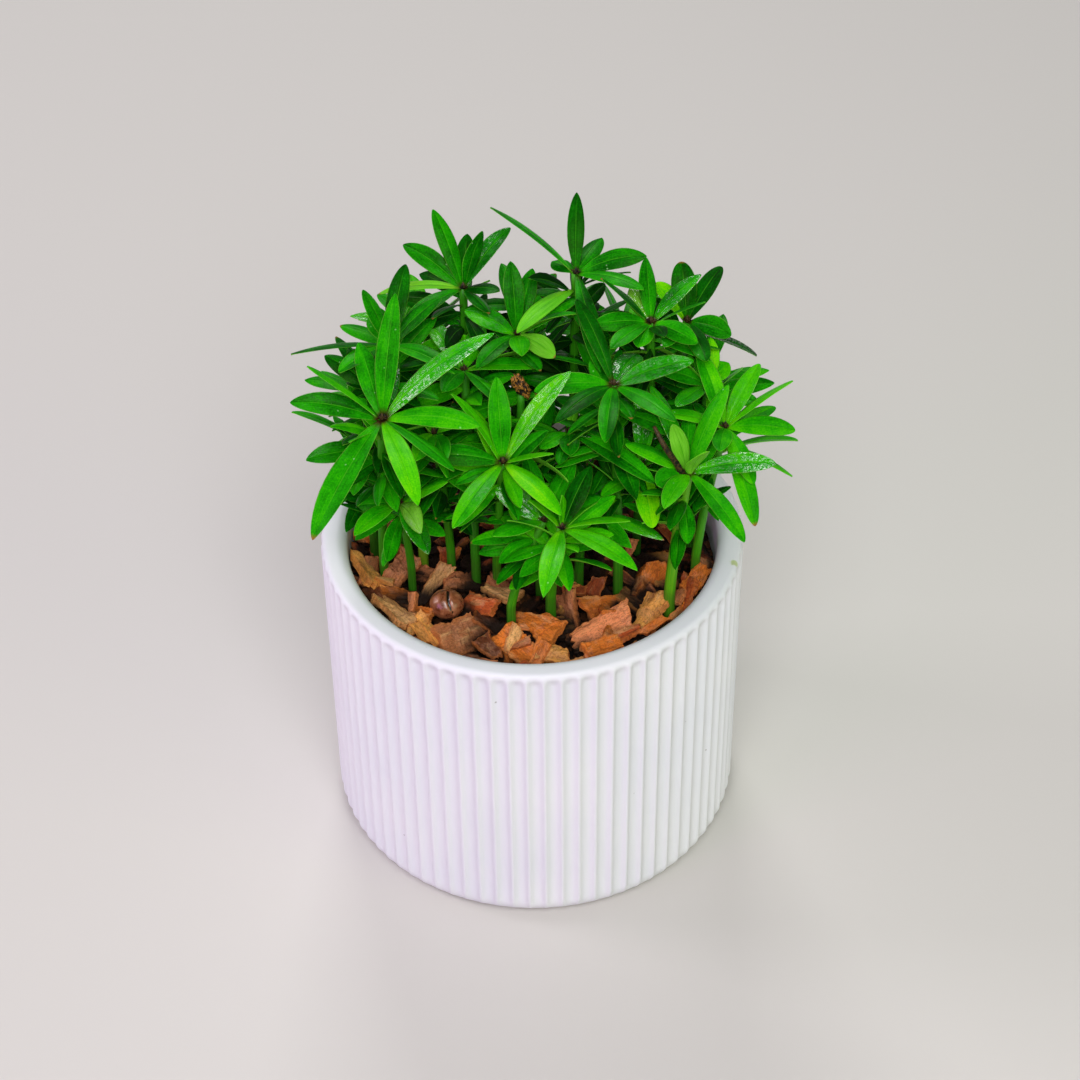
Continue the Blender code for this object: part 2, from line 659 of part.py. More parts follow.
def make_sprout(finish, group, cutters):
    """A leafless sprout whose tip is still inside its dried seed coat."""
    points = stem_path(SPROUT_FOOT, SPROUT_TOP)
    radii = [STEM_RADIUS, STEM_RADIUS, 0.8 * STEM_RADIUS, 0.6 * STEM_RADIUS]
    sprout = tube("sprout", points, radii, finish, group)
    place = points[-1] + Vector((0, 0, 0.6 * HUSK_RADII[2]))
    husk = ellipsoid("husk", place, HUSK_RADII, Matrix.Rotation(HUSK_TILT, 4, "Y"), finish, cutters, 8, 6)
    combine(sprout, [husk], "UNION")
    keep_largest(sprout)
    return sprout


def make_seedlings(finish, group, cutters):
    stems, paths = {}, {}
    for name, (foot, crown, _, _) in SEEDLINGS.items():
        stems[name] = seedling_stem(name, foot, crown, finish, group)
        paths[name] = stem_path(foot, crown)
    sprout = make_sprout(finish, group, cutters)
    trees = {name: tree_of(stem) for name, stem in stems.items()}
    trees["sprout"] = tree_of(sprout)
    for name, leaves in grow_leaves(paths, trees).items():
        pieces = [
            object_from("leaf", *leaf_shape(*placed), finish, cutters) for placed in leaves
        ]
        if name == SHOOT_OWNER:
            pieces.append(young_shoot(paths[name][-1], finish, cutters))
        combine(stems[name], pieces, "UNION")
        keep_largest(stems[name])


def main():
    clear_scene()
    parts = bpy.data.collections.new("potted_buddhist_pine")
    cutters = bpy.data.collections.new("cutters")
    bpy.context.scene.collection.children.link(parts)
    bpy.context.scene.collection.children.link(cutters)
    ceramic = material("ceramic", CERAMIC_WHITE, 0.45)
    earth = material("soil", SOIL_BROWN, 0.95)
    bark = material("bark", BARK_BROWN, 0.8)
    shell = material("seed", SEED_BROWN, 0.25)
    green = material("leaf", LEAF_GREEN, 0.35)
    feet = [
        (foot[0] * MM, foot[1] * MM) for foot in [plan[0] for plan in SEEDLINGS.values()] + [SPROUT_FOOT]
    ]
    make_pot(ceramic, parts, cutters)
    make_soil(feet, earth, parts, cutters)
    make_bark(feet, bark, parts, cutters)
    make_seed(shell, parts)
    make_seedlings(green, parts, cutters)


main()
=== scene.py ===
"""The looks of the potted buddhist pine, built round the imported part."""

import random
from math import copysign, cos, exp, hypot, pi, radians, sin, sqrt

import bpy
import numpy as np
from mathutils import Euler, Matrix, Vector, noise
from mathutils.bvhtree import BVHTree

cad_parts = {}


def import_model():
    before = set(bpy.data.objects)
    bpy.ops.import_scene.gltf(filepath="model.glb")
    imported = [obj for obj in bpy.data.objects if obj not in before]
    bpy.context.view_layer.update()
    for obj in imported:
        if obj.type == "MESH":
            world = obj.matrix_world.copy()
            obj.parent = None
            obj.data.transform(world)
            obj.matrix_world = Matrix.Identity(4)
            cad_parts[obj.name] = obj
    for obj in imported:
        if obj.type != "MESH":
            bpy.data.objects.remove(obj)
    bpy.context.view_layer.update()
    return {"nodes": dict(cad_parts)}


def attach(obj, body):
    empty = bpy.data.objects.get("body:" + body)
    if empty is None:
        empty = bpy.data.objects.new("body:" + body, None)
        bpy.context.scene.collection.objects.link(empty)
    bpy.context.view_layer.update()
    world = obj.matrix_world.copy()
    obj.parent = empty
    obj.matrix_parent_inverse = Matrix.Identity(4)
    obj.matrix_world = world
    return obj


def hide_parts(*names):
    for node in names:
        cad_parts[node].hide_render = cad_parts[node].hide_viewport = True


MM = 0.001

# Pot, as in the part's source, and where its mesh has a ring of points on the plain walls
POT_RADIUS = 60 * MM
POT_HEIGHT = 100 * MM
BORE = 52.5 * MM
FLOOR = 8 * MM
FLOOR_ROUND = 4 * MM
LIP_OUTER = 2 * MM
LIP_INNER = 3.4 * MM
FOOT_ROUND = 8 * MM
MIDDLE = 0.2 * MM
BORE_RING = 86 * MM
WALL_RINGS = (80, 60, 40, 20)

# Flutes: their section, and how they fade out under the lip and at the foot
FLUTES = 78
FLUTE_DEPTH = 1.25 * MM
FLUTE_TURN = radians(0.33)
FLUTE_POINTS = (-1, -0.95, -0.88, -0.8, -0.7, -0.5, -0.25, 0, 0.25, 0.5, 0.7, 0.8, 0.88, 0.95)
ARRIS_SOFT = 0.4
ARCH_FROM = radians(68)
FLUTE_END = 5.2 * MM
FLUTE_FOOT = 1.4 * MM
STAIN_PLACE = Vector((56.4, -15.6, 99.9)) * MM

# Bark and seed
FILL_RADIUS = BORE - 0.4 * MM
BED_RADIUS = FILL_RADIUS - 0.1 * MM
BED_BOTTOM = 84.3 * MM
BED_TOP = 87.4 * MM
BARK_TOP = 95.6 * MM
SEED_RADII = (4.9 * MM, 4.6 * MM, 4.2 * MM)
SEED_PLACE = Vector((-24, -23.9, 93.4)) * MM

# Stems and leaves, as in the part's source
STEM_RADIUS = 1.7 * MM
STEM_BOTTOM = 74 * MM
STEM_BEND = 90 * MM
STEM_FREE = 97 * MM
STEM_LEAN = 1.3
SOLID_STEM = (0.4, 1)
LEAF_ROOT = 0.9 * MM
LEAF_BOW = 0.07
SAME_POINT = 0.03 * MM
GOLDEN_ANGLE = 137.5
NUDGES = (
    (0, 0), (0, 6), (0, -6), (8, 0), (-8, 0), (8, 7), (-8, 7), (8, -7), (-8, -7), (0, 13), (0, -13),
    (16, 0), (-16, 0), (16, 10), (-16, 10), (16, -10), (-16, -10), (24, 5), (-24, 5), (0, 20), (24, 15),
    (-24, 15),
)

# Rolls: edge on for a leaf on the left, facing the photo for one on the right; negative on the other side
EDGE_ON = 45
FACING = 35

# Each seedling in mm, as in the part's source: foot, crown, leaf width and leaves, most seen in the photo.
# A leaf is its heading, rise and length, and may add its roll and how far below the crown it is. A separate
# program wrote this table: it worked out most crowns and leaves from pixels of the photo read by eye
SEEDLINGS = {
    1: ((-42, -8), (-39.3, -16, 154), 6.8, (
        (75, 58, 33), (18, 36, 37, 15), (343, 11, 27, 25), (289, -5, 32), (317, -6, 25.5, -EDGE_ON),
        (245, -16, 40), (181, 17, 24, -FACING), (171, 39, 24, EDGE_ON), (110, 30, 22),
    )),
    2: ((-10, -12), (-7.5, -18, 140.1), 6.6, (
        (98, 58, 22.5), (28, 49, 30.5, 8), (243, -4, 26.5), (309, -5, 23.5), (353, 21, 13.5, -EDGE_ON),
        (146, 49, 22.5, EDGE_ON), (180, 8, 21, -FACING), (126, 57, 19, EDGE_ON, 5),
    )),
    3: ((5, -25), (8.1, -34, 130.4), 6.6, (
        (258, -2, 25), (319, 1, 25), (89, 64, 8.5, 70), (157, 40, 11, EDGE_ON), (358, 12, 17.5, -EDGE_ON),
        (60, 35, 18),
    )),
    4: ((46, -10), (52.8, -6, 141.4), 6, (
        (51, 38, 19), (15, 33, 21.5, -EDGE_ON), (345, 8, 18.5, FACING), (340, -12, 20.5, -EDGE_ON, 6),
        (284, -24, 29.5), (261, 19, 16), (289, -16, 19), (110, 38, 22), (190, 25, 18), (39, 7, 19, 0, 5),
        (5, 6, 21, -EDGE_ON, 8),
    )),
    5: ((38, -24), (42.2, -20, 137.5), 6.2, (
        (224, 14, 12, -20), (128, 63, 13.5), (301, 63, 13), (301, -9, 27), (347, 17, 23.5, FACING),
        (46, 56, 25.5), (250, 5, 20), (170, 25, 18), (114, 33, 25.5, 20),
    )),
    6: ((-45, 1), (-43.9, -6, 134.8), 6.4, (
        (202, 7, 17.5, -FACING), (169, 30, 23, EDGE_ON), (251, -17, 14), (105, 35, 26), (340, 16, 20),
    )),
    7: ((-34, -13), (-35.9, -19, 126.8), 6.4, (
        (227, 2, 16.5), (196, 9, 10.5, -FACING), (294, -5, 20), (288, 22, 20, 50), (347, 37, 16.5),
        (20, 20, 24), (110, 30, 20),
    )),
    8: ((24, -15), (22.6, -4, 154.9), 6.4, (
        (63, 4, 13.5), (358, 22, 22, FACING), (117, 39, 25), (190, 6, 21, -FACING), (225, 5, 22),
        (262, 4, 24), (310, 6, 24),
    )),
    9: ((12, 26), (13, 30, 167.1), 6.2, (
        (90, 43, 22), (146, 22, 29.5, EDGE_ON), (357, 21, 19.5, FACING), (143, 3, 7.5), (281, -14, 32),
        (232, 5, 26.5, 0, 5), (325, 12, 22), (60, 8, 15),
    )),
    10: ((-18, 24), (-18.1, 28, 164), 6.2, (
        (120, 49, 22.5), (82, 47, 14.5), (47, 31, 21), (53, 58, 16, 75), (149, 24, 20, -FACING),
        (223, -4, 21), (331, 16, 11), (313, 4, 12, -EDGE_ON), (174, -7, 23, 10),
    )),
    11: ((34, 12), (33.1, 14, 162.1), 6, (
        (191, 5, 15.5, -FACING), (232, 8, 17.5), (157, 38, 17.5, EDGE_ON), (116, 28, 11.5),
        (111, 38, 18, EDGE_ON), (321, 1, 15, FACING), (250, 0, 10.5), (30, 35, 18),
    )),
    12: ((36, 24), (43.5, 23, 155.4), 6.4, (
        (51, 34, 17.5), (95, 47, 16), (133, 45, 13), (329, 5, 13, FACING), (337, -3, 20.5, -EDGE_ON, 4),
        (280, 5, 20), (225, 12, 18),
    )),
    13: ((-37, 6), (-37.7, 8, 160.1), 6.4, (
        (77, 41, 22), (125, 44, 16, EDGE_ON), (124, 22, 10), (197, 7, 26.5, EDGE_ON), (30, 28, 18),
        (262, -5, 20), (320, 5, 22), (225, 12, 18),
    )),
    14: ((-5, 15), (-3.4, 18, 155.5), 6.2, (
        (31, 21, 20), (167, 31, 15, -FACING), (313, 5, 14.5, 30), (70, 45, 18), (97, 51, 19.5), (235, 2, 18),
        (275, 15, 14), (350, 32, 18, -EDGE_ON),
    )),
    15: ((-6, -29), (3.3, -25, 125), 6.4, (
        (156, 30, 15, -FACING), (215, 12, 16), (60, 30, 18), (110, 40, 18), (15, 20, 16),
    )),
    16: ((13, -15), (14.4, -14, 118.7), 5.4, (
        (328, 2, 24), (308, 1, 19, 50), (292, 8, 18, 50), (156, 41, 15), (8, 19, 10), (53, 34, 18),
        (255, 14, 15, 40), (21, 9, 20),
    )),
    17: ((-31, -4), (-42, -2, 152.6), 6.2, (
        (154, 27, 15.5, -20), (133, 34, 13, EDGE_ON), (123, 24, 23, EDGE_ON, 5), (153, 20, 7, EDGE_ON),
        (330, 15, 20),
    )),
    18: ((45, 3), (49, 8, 145), 6, (
        (85, 42, 12.5), (46, 21, 8, 20), (100, 25, 10),
    )),
    19: ((30, 4), (30, -10, 131.6), 6, (
        (85, 54, 22, 20), (275, -12, 20.5), (349, 41, 16.5), (80, 45, 18), (20, 30, 20),
    )),
    20: ((-23, -7), (-26, -9, 143), 6, ()),
    21: ((2, -14), (0, -8, 133), 6, ()),
    22: ((-16, -9.5), (-17.9, 8, 151.1), 6, ()),
    23: ((14, 6), (10.5, -5, 139.5), 6, (
        (76, 33, 7, 30), (1, 23, 18), (319, -4, 29, 20), (216, -6, 9), (270, 1, 9), (336, 5, 7.5, -EDGE_ON),
    )),
    24: ((-30, 18), (-34, 22, 146), 6, ()),
    25: ((0, 35), (-2, 42, 141), 6.2, ()),
    26: ((22, 36), (28, 43, 139), 6.2, ()),
    27: ((-24, 36), (-30, 42, 138), 6.2, ()),
    28: ((43, 19), (50, 24, 137), 6, ()),
    29: ((-42, 15), (-47, 20, 134), 6, ()),
}

# Further whorls by rule: count, turn, rise, length in mm and how far below the crown
WHORLS = {
    8: ((5, 10, 0, 20, 20),), 9: ((4, 20, 0, 20, 22),), 10: ((4, 50, 0, 20, 24),), 11: ((4, 90, 0, 19, 22),),
    12: ((3, 140, 0, 17, 18),), 13: ((4, 70, 0, 19, 22),), 14: ((5, 35, 0, 20, 22),),
    17: ((3, 80, 0, 18, 16),), 18: ((8, 50, 18, 18, 0), (3, 200, 0, 17, 14)), 19: ((4, 45, 0, 18, 12),),
    20: ((8, 20, 10, 22, 0), (3, 300, 0, 18, 14)), 21: ((8, 75, 12, 21, 0),),
    22: ((8, 110, 12, 20, 0), (4, 30, 0, 20, 18)), 23: ((5, 130, 0, 18, 10),),
    24: ((8, 160, 15, 20, 0), (3, 60, 0, 19, 18)), 25: ((9, 85, 10, 21, 0), (3, 40, 0, 20, 16)),
    26: ((9, 60, 10, 21, 0), (3, 110, 0, 20, 16)), 27: ((9, 130, 12, 22, 0), (3, 20, 0, 20, 16)),
    28: ((8, 15, 10, 18, 0),), 29: ((8, 170, 10, 18, 0),),
}

# The sprout and its seed coat, and the brown shoot of one seedling, whose steps are in mm from its crown
SPROUT_FOOT = (-4, -4)
SPROUT_TOP = (-2.4, -1, 149.7)
HUSK_RADII = (2.1 * MM, 2.1 * MM, 4.6 * MM)
HUSK_TILT = radians(-28)
HUSK_GRID = (34, 40)
SHOOT_OWNER = 5
SHOOT_STEPS = ((-1.2, -1.5, -0.5), (-3.4, -1.2, 4.2), (-6.6, -0.4, 9.4), (-9.4, 1.2, 15))
SHOOT_RADII = (1 * MM, 0.95 * MM, 0.85 * MM, 0.8 * MM, 0.5 * MM)

# Each seedling's leaves: tone from 0 dark to 1 yellow-green, how brown the crown is, and how round the ends
DEFAULT_LOOK = (0.5, 0.3, None)
LOOKS = {
    1: (0.58, 1, 0.66), 2: (0.62, 0.8, 0.66), 3: (0.74, 0.5, 0.78), 4: (0.54, 0.2, 0.52), 5: (0.54, 0.9, 0.6),
    6: (0.46, 1, 0.7), 7: (0.5, 0.2, 0.7), 8: (0.44, 0.9, 0.6), 9: (0.3, 0.4, 0.68), 10: (0.26, 0.5, 0.66),
    11: (0.34, 1, 0.68), 12: (0.28, 0.8, 0.5), 13: (0.3, 0.4, 0.62), 14: (0.42, 0.3, 0.68),
    15: (0.46, 0.3, 0.64), 16: (0.46, 0.3, 0.8), 17: (0.3, 0.2, 0.64), 19: (0.52, 0.5, 0.6),
    23: (0.48, 0.3, 0.64),
}

# Leaves of their own look, by seedling and place in its list
SPECIAL = {
    1: {
        0: {"tone": 0.54}, 1: {"gloss": 1, "tone": 0.54}, 3: {"tone": 0.63}, 5: {"broad": 1.15, "fold": 0.3},
        6: {"tone": 0.46}, 8: {"tone": 0.36},
    },
    2: {1: {"gloss": 0.8, "tone": 0.6}, 2: {"tone": 0.76, "gloss": 0.1}, 6: {"tone": 0.26}},
    3: {0: {"gloss": 0.1}, 5: {"tone": 0.28}},
    4: {0: {"gloss": 0.1}, 1: {"tone": 0.62}, 2: {"gloss": 0}},
    5: {
        0: {"broad": 1.25, "tone": 0.38}, 1: {"pale": 0.9}, 2: {"tone": 0.68, "broad": 1.1},
        3: {"tone": 0.66}, 4: {"gloss": 1},
    },
    6: {0: {"gloss": 0.1, "tone": 0.4}},
    7: {2: {"gloss": 0.8}, 3: {"pale": 1, "curl": 0.5, "gloss": 0.8}},
    8: {
        0: {"broad": 1.15, "blunt": 0.5, "gloss": 1, "tone": 0.42}, 1: {"tone": 0.3, "gloss": 0.3},
        2: {"tone": 0.14, "broad": 0.8}, 4: {"tone": 0.24}, 5: {"tone": 0.22, "broad": 0.85},
        6: {"tone": 0.3},
    },
    9: {0: {"broad": 0.78, "tone": 0.36, "gloss": 0}, 1: {"roll": 29}, 5: {"pale": 0.45, "tone": 0.6}},
    10: {0: {"broad": 0.86}, 8: {"tone": 0.95, "pale": 0.6}},
    11: {3: {"pale": 0.8, "curl": 0.6, "gloss": 1}},
    12: {1: {"broad": 1.12}, 2: {"tone": 0.75}, 4: {"gloss": 0.8}},
    13: {3: {"tone": 0.26, "roll": 24}},
    14: {1: {"gloss": 0.1}, 2: {"pale": 0.8, "tone": 0.8}},
    15: {0: {"gloss": 0.9, "broad": 1.05}},
    16: {0: {"gloss": 0.9}, 4: {"tone": 0.85}},
    18: {0: {"tone": 0.85}},
    19: {1: {"tone": 0.72, "broad": 1.1, "blunt": 0.5}},
    23: {0: {"tone": 0.9, "pale": 0.5, "broad": 0.5}},
}

# Stem radius in mm and tone
STEM_LOOKS = {
    3: (1.5, 0.6), 4: (1.35, 0.6), 5: (1.65, 0.72), 6: (1.45, 0.3), 7: (1.15, 0.45), 8: (1.45, 0.45),
    15: (1.3, 0.55), 16: (1.35, 0.35), 17: (1.4, 0.95),
}

# Blade mesh: shares along the leaf, and the points round one section
ALONG = (0, 0.03, 0.07, 0.12, 0.18, 0.25, 0.33, 0.42, 0.51, 0.6, 0.69, 0.77, 0.84, 0.89, 0.925, 0.95, 0.97,
         0.984, 0.994)
ACROSS_TOP = (-1, -0.9, -0.7, -0.4, -0.12, -0.05, 0, 0.05, 0.12, 0.4, 0.7, 0.9, 1)
ACROSS_UNDER = (0.85, 0.45, 0.12, 0, -0.12, -0.45, -0.85)
FILL_ALONG = (0, 0.06, 0.15, 0.28, 0.44, 0.6, 0.75, 0.87, 0.94, 0.98)
FILL_TOP = (-1, -0.8, -0.4, -0.08, 0, 0.08, 0.4, 0.8, 1)
FILL_UNDER = (0.7, 0, -0.7)
BROAD = 0.94
EDGE_ON_EASED = 0.55
BLADE_THICK = 0.4 * MM
MARGIN_THICK = 0.2 * MM
GROOVE = 0.13 * MM
GROOVE_WIDTH = 0.07
KEEL = 0.14 * MM
KEEL_WIDTH = 0.13
PETIOLE = 0.15
PETIOLE_LENGTH = 0.1
PETIOLE_DEEP = 0.8

# Filling leaves: tries for a clear place, rings as count, mm down the stem and length, and the room they have
FILL_TRIES = 16
FILL_RINGS = ((5, 5, 15), (6, 11, 17), (6, 18, 16), (5, 26, 16), (4, 34, 14), (3, 41, 12))
FILL_STEM_FROM = 112
FILL_REACH = 57 * MM
FILL_LOWEST = 104 * MM
STAND_IN = (0.2, 0.35, 0.7, 0.97)

# Stem mesh: shares of the way from the soil to the crown, and a direction that no stem follows
STEM_SHARES = (0.06, 0.13, 0.2, 0.28, 0.36, 0.45, 0.54, 0.63, 0.72, 0.81, 0.89, 0.95, 1)
SIDEWAYS = Vector((0.31, 0.95, 0.05))


class Draw(random.Random):
    """Seeded draws. Called with two numbers, it gives one between them."""

    __call__ = random.Random.uniform


def turned(faces):
    """The same faces seen from their other side."""
    return [tuple(reversed(face)) for face in faces]


def tube(rows, count):
    """Quads between rings of points that follow each other, open at both ends."""
    faces = []
    for near in range(0, (rows - 1) * count, count):
        for k in range(count):
            beside = (k + 1) % count
            faces.append((near + k, near + beside, near + count + beside, near + count + k))
    return faces


def closed_tube(rows, count):
    last = (rows - 1) * count
    return tube(rows, count) + [tuple(range(count - 1, -1, -1)), tuple(range(last, last + count))]


def pointed_tube(rows, count):
    """A tube closed at its foot, with its other end drawn together in one last point."""
    last = (rows - 1) * count
    tip = [(last + (k + 1) % count, last + k, last + count) for k in range(count)]
    return turned(tube(rows, count)) + [tuple(range(count))] + tip


def around(angle, reach=1):
    """The point at an angle from +X, in radians, and a distance from the middle."""
    return Vector((reach * cos(angle), reach * sin(angle)))


def ball(rows, sides):
    """A unit ball's points, ring by ring from its top, each with its place in the ring."""
    for i in range(rows):
        polar = pi * (i + 0.5) / rows
        for k in range(sides):
            yield k, Vector((*around(2 * pi * k / sides, sin(polar)), cos(polar)))


def ease(share):
    """0 below 0, 1 above 1 and smooth between."""
    share = min(1, max(0, share))
    return share * share * (3 - 2 * share)


def into_scene(name, data):
    made = bpy.data.objects.new(name, data)
    bpy.context.scene.collection.objects.link(made)
    return made


class Mesh:
    """Gathers points, faces, material numbers and colour attributes for one object."""

    def __init__(self, *attributes):
        self.points, self.faces, self.slots = [], [], []
        self.values = {name: [] for name in attributes}

    def add(self, points, faces, slot, **values):
        """Adds a form. A colour attribute is given for each point, or once for all."""
        start = len(self.points)
        self.points.extend(map(tuple, points))
        self.faces.extend(tuple(start + k for k in face) for face in faces)
        self.slots.extend([slot] * len(faces))
        for name, stored in self.values.items():
            given = values.get(name, (0, 0, 0, 0))
            rows = given if hasattr(given[0], "__len__") else [given] * len(points)
            stored.extend(map(tuple, rows))

    def build(self, name, materials, replaced, slot):
        """The object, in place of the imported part's node."""
        mesh = bpy.data.meshes.new(name)
        mesh.from_pydata(self.points, [], self.faces)
        for finish in materials:
            mesh.materials.append(finish)
        mesh.polygons.foreach_set("material_index", self.slots)
        for attribute, rows in self.values.items():
            layer = mesh.attributes.new(attribute, "FLOAT_COLOR", "POINT")
            layer.data.foreach_set("color", np.array(rows, np.float32).ravel())
        mesh.shade_smooth()
        made = into_scene(name, mesh)
        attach(made, "root")
        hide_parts(replaced)
        return made


def feed(socket, value):
    """Links a value to a shader node's input, or sets a number or a colour there."""
    if isinstance(value, Value):
        socket.id_data.links.new(value.socket, socket)
    else:
        socket.default_value = (*value, 1) if socket.type == "RGBA" else value


class Value:
    """A shader node's output. +, -, * and its methods make further nodes that read it."""

    def __init__(self, socket):
        self.socket = socket

    def node(self, kind, inputs, output=0, **settings):
        made = self.socket.id_data.nodes.new(kind)
        for key, value in settings.items():
            setattr(made, key, value)
        for key, value in inputs.items():
            feed(made.inputs[key], value)
        return Value(made.outputs[output])

    def math(self, operation, other=0):
        return self.node("ShaderNodeMath", {0: self, 1: other}, operation=operation)

    def __add__(self, other):
        return self.math("ADD", other)

    def __sub__(self, other):
        return self.math("SUBTRACT", other)

    def __mul__(self, other):
        return self.math("MULTIPLY", other)

    def step(self, low, high):
        """0 below low, 1 above high and smooth between; high may be the lower one."""
        inputs = {"Value": self, "From Min": low, "From Max": high}
        return self.node("ShaderNodeMapRange", inputs, interpolation_type="SMOOTHSTEP")

    def span(self, to_low, to_high, low=0.3, high=0.7):
        """Values from low to high, at first the reach of a noise, spread from to_low to to_high."""
        inputs = {"Value": self, "From Min": low, "From Max": high, "To Min": to_low, "To Max": to_high}
        return self.node("ShaderNodeMapRange", inputs)

    def mix(self, none, full):
        """One colour where this is 0 and the other where it is 1."""
        return self.node("ShaderNodeMixRGB", {"Fac": self, "Color1": none, "Color2": full})

    def under(self, *layers):
        """This colour with others laid over it in turn, each as its share and the colour."""
        colour = self
        for share, laid in layers:
            colour = share.mix(colour, laid)
        return colour

    def ramp(self, *stops):
        """A colour from places between 0 and 1, each with its colour."""
        made = self.node("ShaderNodeValToRGB", {"Fac": self})
        elements = made.socket.node.color_ramp.elements
        while len(elements) < len(stops):
            elements.new(0.5)
        for element, (place, colour) in zip(elements, stops):
            element.position = place
            element.color = (*colour, 1)
        return made

    def noise(self, scale, detail=3, roughness=0.5):
        inputs = {"Vector": self, "Scale": scale, "Detail": detail, "Roughness": roughness}
        return self.node("ShaderNodeTexNoise", inputs)

    def cells(self, scale, output="Distance", **settings):
        return self.node("ShaderNodeTexVoronoi", {"Vector": self, "Scale": scale}, output, **settings)

    def bump(self, strength, distance, **below):
        inputs = {"Height": self, "Strength": strength, "Distance": distance, **below}
        return self.node("ShaderNodeBump", inputs)


def vector(*parts):
    return parts[0].node("ShaderNodeCombineXYZ", dict(enumerate(parts)))


class Shader:
    """A material with one Principled BSDF, and the values that its looks are worked out from."""

    def __init__(self, name, **sockets):
        self.material = bpy.data.materials.new(name)
        self.material.use_nodes = True
        self.nodes = self.material.node_tree.nodes
        self.finish(**sockets)

    def finish(self, **sockets):
        """Feeds the shader's own sockets, with _ for each space in a name, and gives the material."""
        for name, value in sockets.items():
            feed(self.nodes["Principled BSDF"].inputs[name.replace("_", " ")], value)
        return self.material

    def place(self):
        return Value(self.nodes.new("ShaderNodeTexCoord").outputs["Object"])

    def stored(self, name):
        """The colour and the alpha of a colour attribute."""
        made = self.nodes.new("ShaderNodeAttribute")
        made.attribute_name = name
        return Value(made.outputs["Color"]), Value(made.outputs["Alpha"])

    def channels(self, name):
        """The red, green, blue and alpha of a colour attribute."""
        colour, alpha = self.stored(name)
        split = colour.node("ShaderNodeSeparateColor", {"Color": colour})
        return *map(Value, split.socket.node.outputs), alpha


# Materials

def leaf_material():
    """Leaf blade: blade is across, along, tone and pale; trait is brown crown, brown tip, seed and gloss."""
    shader = Shader("leaf_blade", Specular_IOR_Level=0.09, Specular_Tint=(0.45, 1, 0.15))
    across, along, tone, pale = shader.channels("blade")
    crown, tip, seed, gloss = shader.channels("trait")
    place = shader.place()
    offset = (across * 2 - 1).math("ABSOLUTE")
    midrib = offset.step(0.05, 0.015) * along.step(0.97, 0.6)
    streaks = vector(across * 9, along * 1.6, seed * 90).noise(2.2)
    lightness = tone + place.noise(160, 2).span(-0.09, 0.09) + streaks.span(-0.07, 0.07)
    lightness += place.noise(2100, 3, 0.7).span(-0.11, 0.11)
    # Painted light and shade: one half of the blade lighter and the other darker, as the two halves of a
    # folded leaf are lit
    lean = (seed * 7).math("FRACT") - 0.5
    half = across.step(0.48, 0.52) - 0.5
    lightness = half * (lean * 0.34) + lightness + along.span(0.14, 0, 0, 0.3)
    # A lighter margin: partly the leaf's own paler edge, partly a painted highlight where the rim catches
    # light
    edge = offset.step(0.92, 0.99) * lightness.span(0.15, 0.7, 0.1, 0.55)
    light = streaks.span(0, 1).mix((0.13, 0.46, 0.012), (0.24, 0.6, 0.05))
    light = (midrib * 0.8).mix(light, (0.02, 0.17, 0.004))
    brown = place.noise(900).mix((0.006, 0.004, 0.002), (0.08, 0.034, 0.008))
    # Pale flecks in the colour: partly dust specks, partly painted highlight glints
    dust_and_glints = place.cells(420).step(0.13, 0.07) * place.noise(260, 0).step(0.64, 0.68)
    colour = lightness.ramp(
        (0, (0.001, 0.022, 0.001)), (0.25, (0.002, 0.11, 0.001)), (0.5, (0.014, 0.32, 0.001)),
        (0.75, (0.072, 0.52, 0.001)), (1, (0.23, 0.7, 0.002)),
    ).under(
        (midrib * 0.35, (0.11, 0.52, 0.02)), (edge.math("MINIMUM", 0.7), (0.26, 0.68, 0.06)),
        (pale * 0.85, light), (along.step(0.1, 0.015) * crown, brown),
        (along.step(0.955, 1) * tip, (0.27, 0.12, 0.03)), (dust_and_glints * 0.4, (0.42, 0.72, 0.33)),
    )
    grit = place.noise(2600, 2)
    flecks = place.noise(900, 3, 0.6).step(0.43, 0.52) * offset.step(0.06, 0.22)
    veins = (offset * 60).math("SINE")
    relief = (veins * 0.1 + grit * 0.8 + streaks * 0.7).bump(0.3, 0.07 * MM)
    ripple = place.noise(1500, 2) + streaks * 0.8
    return shader.finish(
        Base_Color=colour, Roughness=grit.span(0.3, 0.46, 0.35), Normal=relief, Coat_Weight=gloss * flecks,
        Coat_Roughness=0.13, Coat_IOR=2.3, Coat_Normal=ripple.bump(1, 0.17 * MM, Normal=relief),
    )


def stem_material():
    """Stem skin: attribute blade is round, height, tone and 0; trait's blue is the seed of its streaks."""
    shader = Shader("stem_skin", Specular_IOR_Level=0.3)
    round_it, height, tone, _ = shader.channels("blade")
    seed = shader.channels("trait")[2]
    streaks = vector(round_it * 16, height * 2.2, seed * 70).noise(1.6, 4)
    spots = shader.place().noise(1400, 2).step(0.66, 0.74)
    colour = (tone + streaks.span(-0.16, 0.16)).ramp(
        (0, (0.003, 0.045, 0.002)), (0.3, (0.012, 0.17, 0.002)), (0.6, (0.05, 0.34, 0.003)),
        (1, (0.22, 0.48, 0.01)),
    ).under((spots * 0.5, (0.09, 0.06, 0.02)), (height.step(0.22, 0.1) * 0.45, (0.03, 0.045, 0.008)))
    return shader.finish(
        Base_Color=colour, Roughness=streaks.span(0.38, 0.6), Normal=streaks.bump(0.5, 0.12 * MM),
    )


def bud_material(name, dark, light):
    """Brown woody skin of buds, scales, the young shoot and the dried seed coat."""
    shader = Shader(name, Specular_IOR_Level=0.35)
    place = shader.place()
    grain = place.noise(700, 4, 0.65)
    fine = place.noise(2400)
    return shader.finish(
        Base_Color=grain.ramp((0.44, dark), (0.54, light), (0.62, dark)), Roughness=fine.span(0.45, 0.75),
        Normal=(grain + fine).bump(0.7, 0.25 * MM),
    )


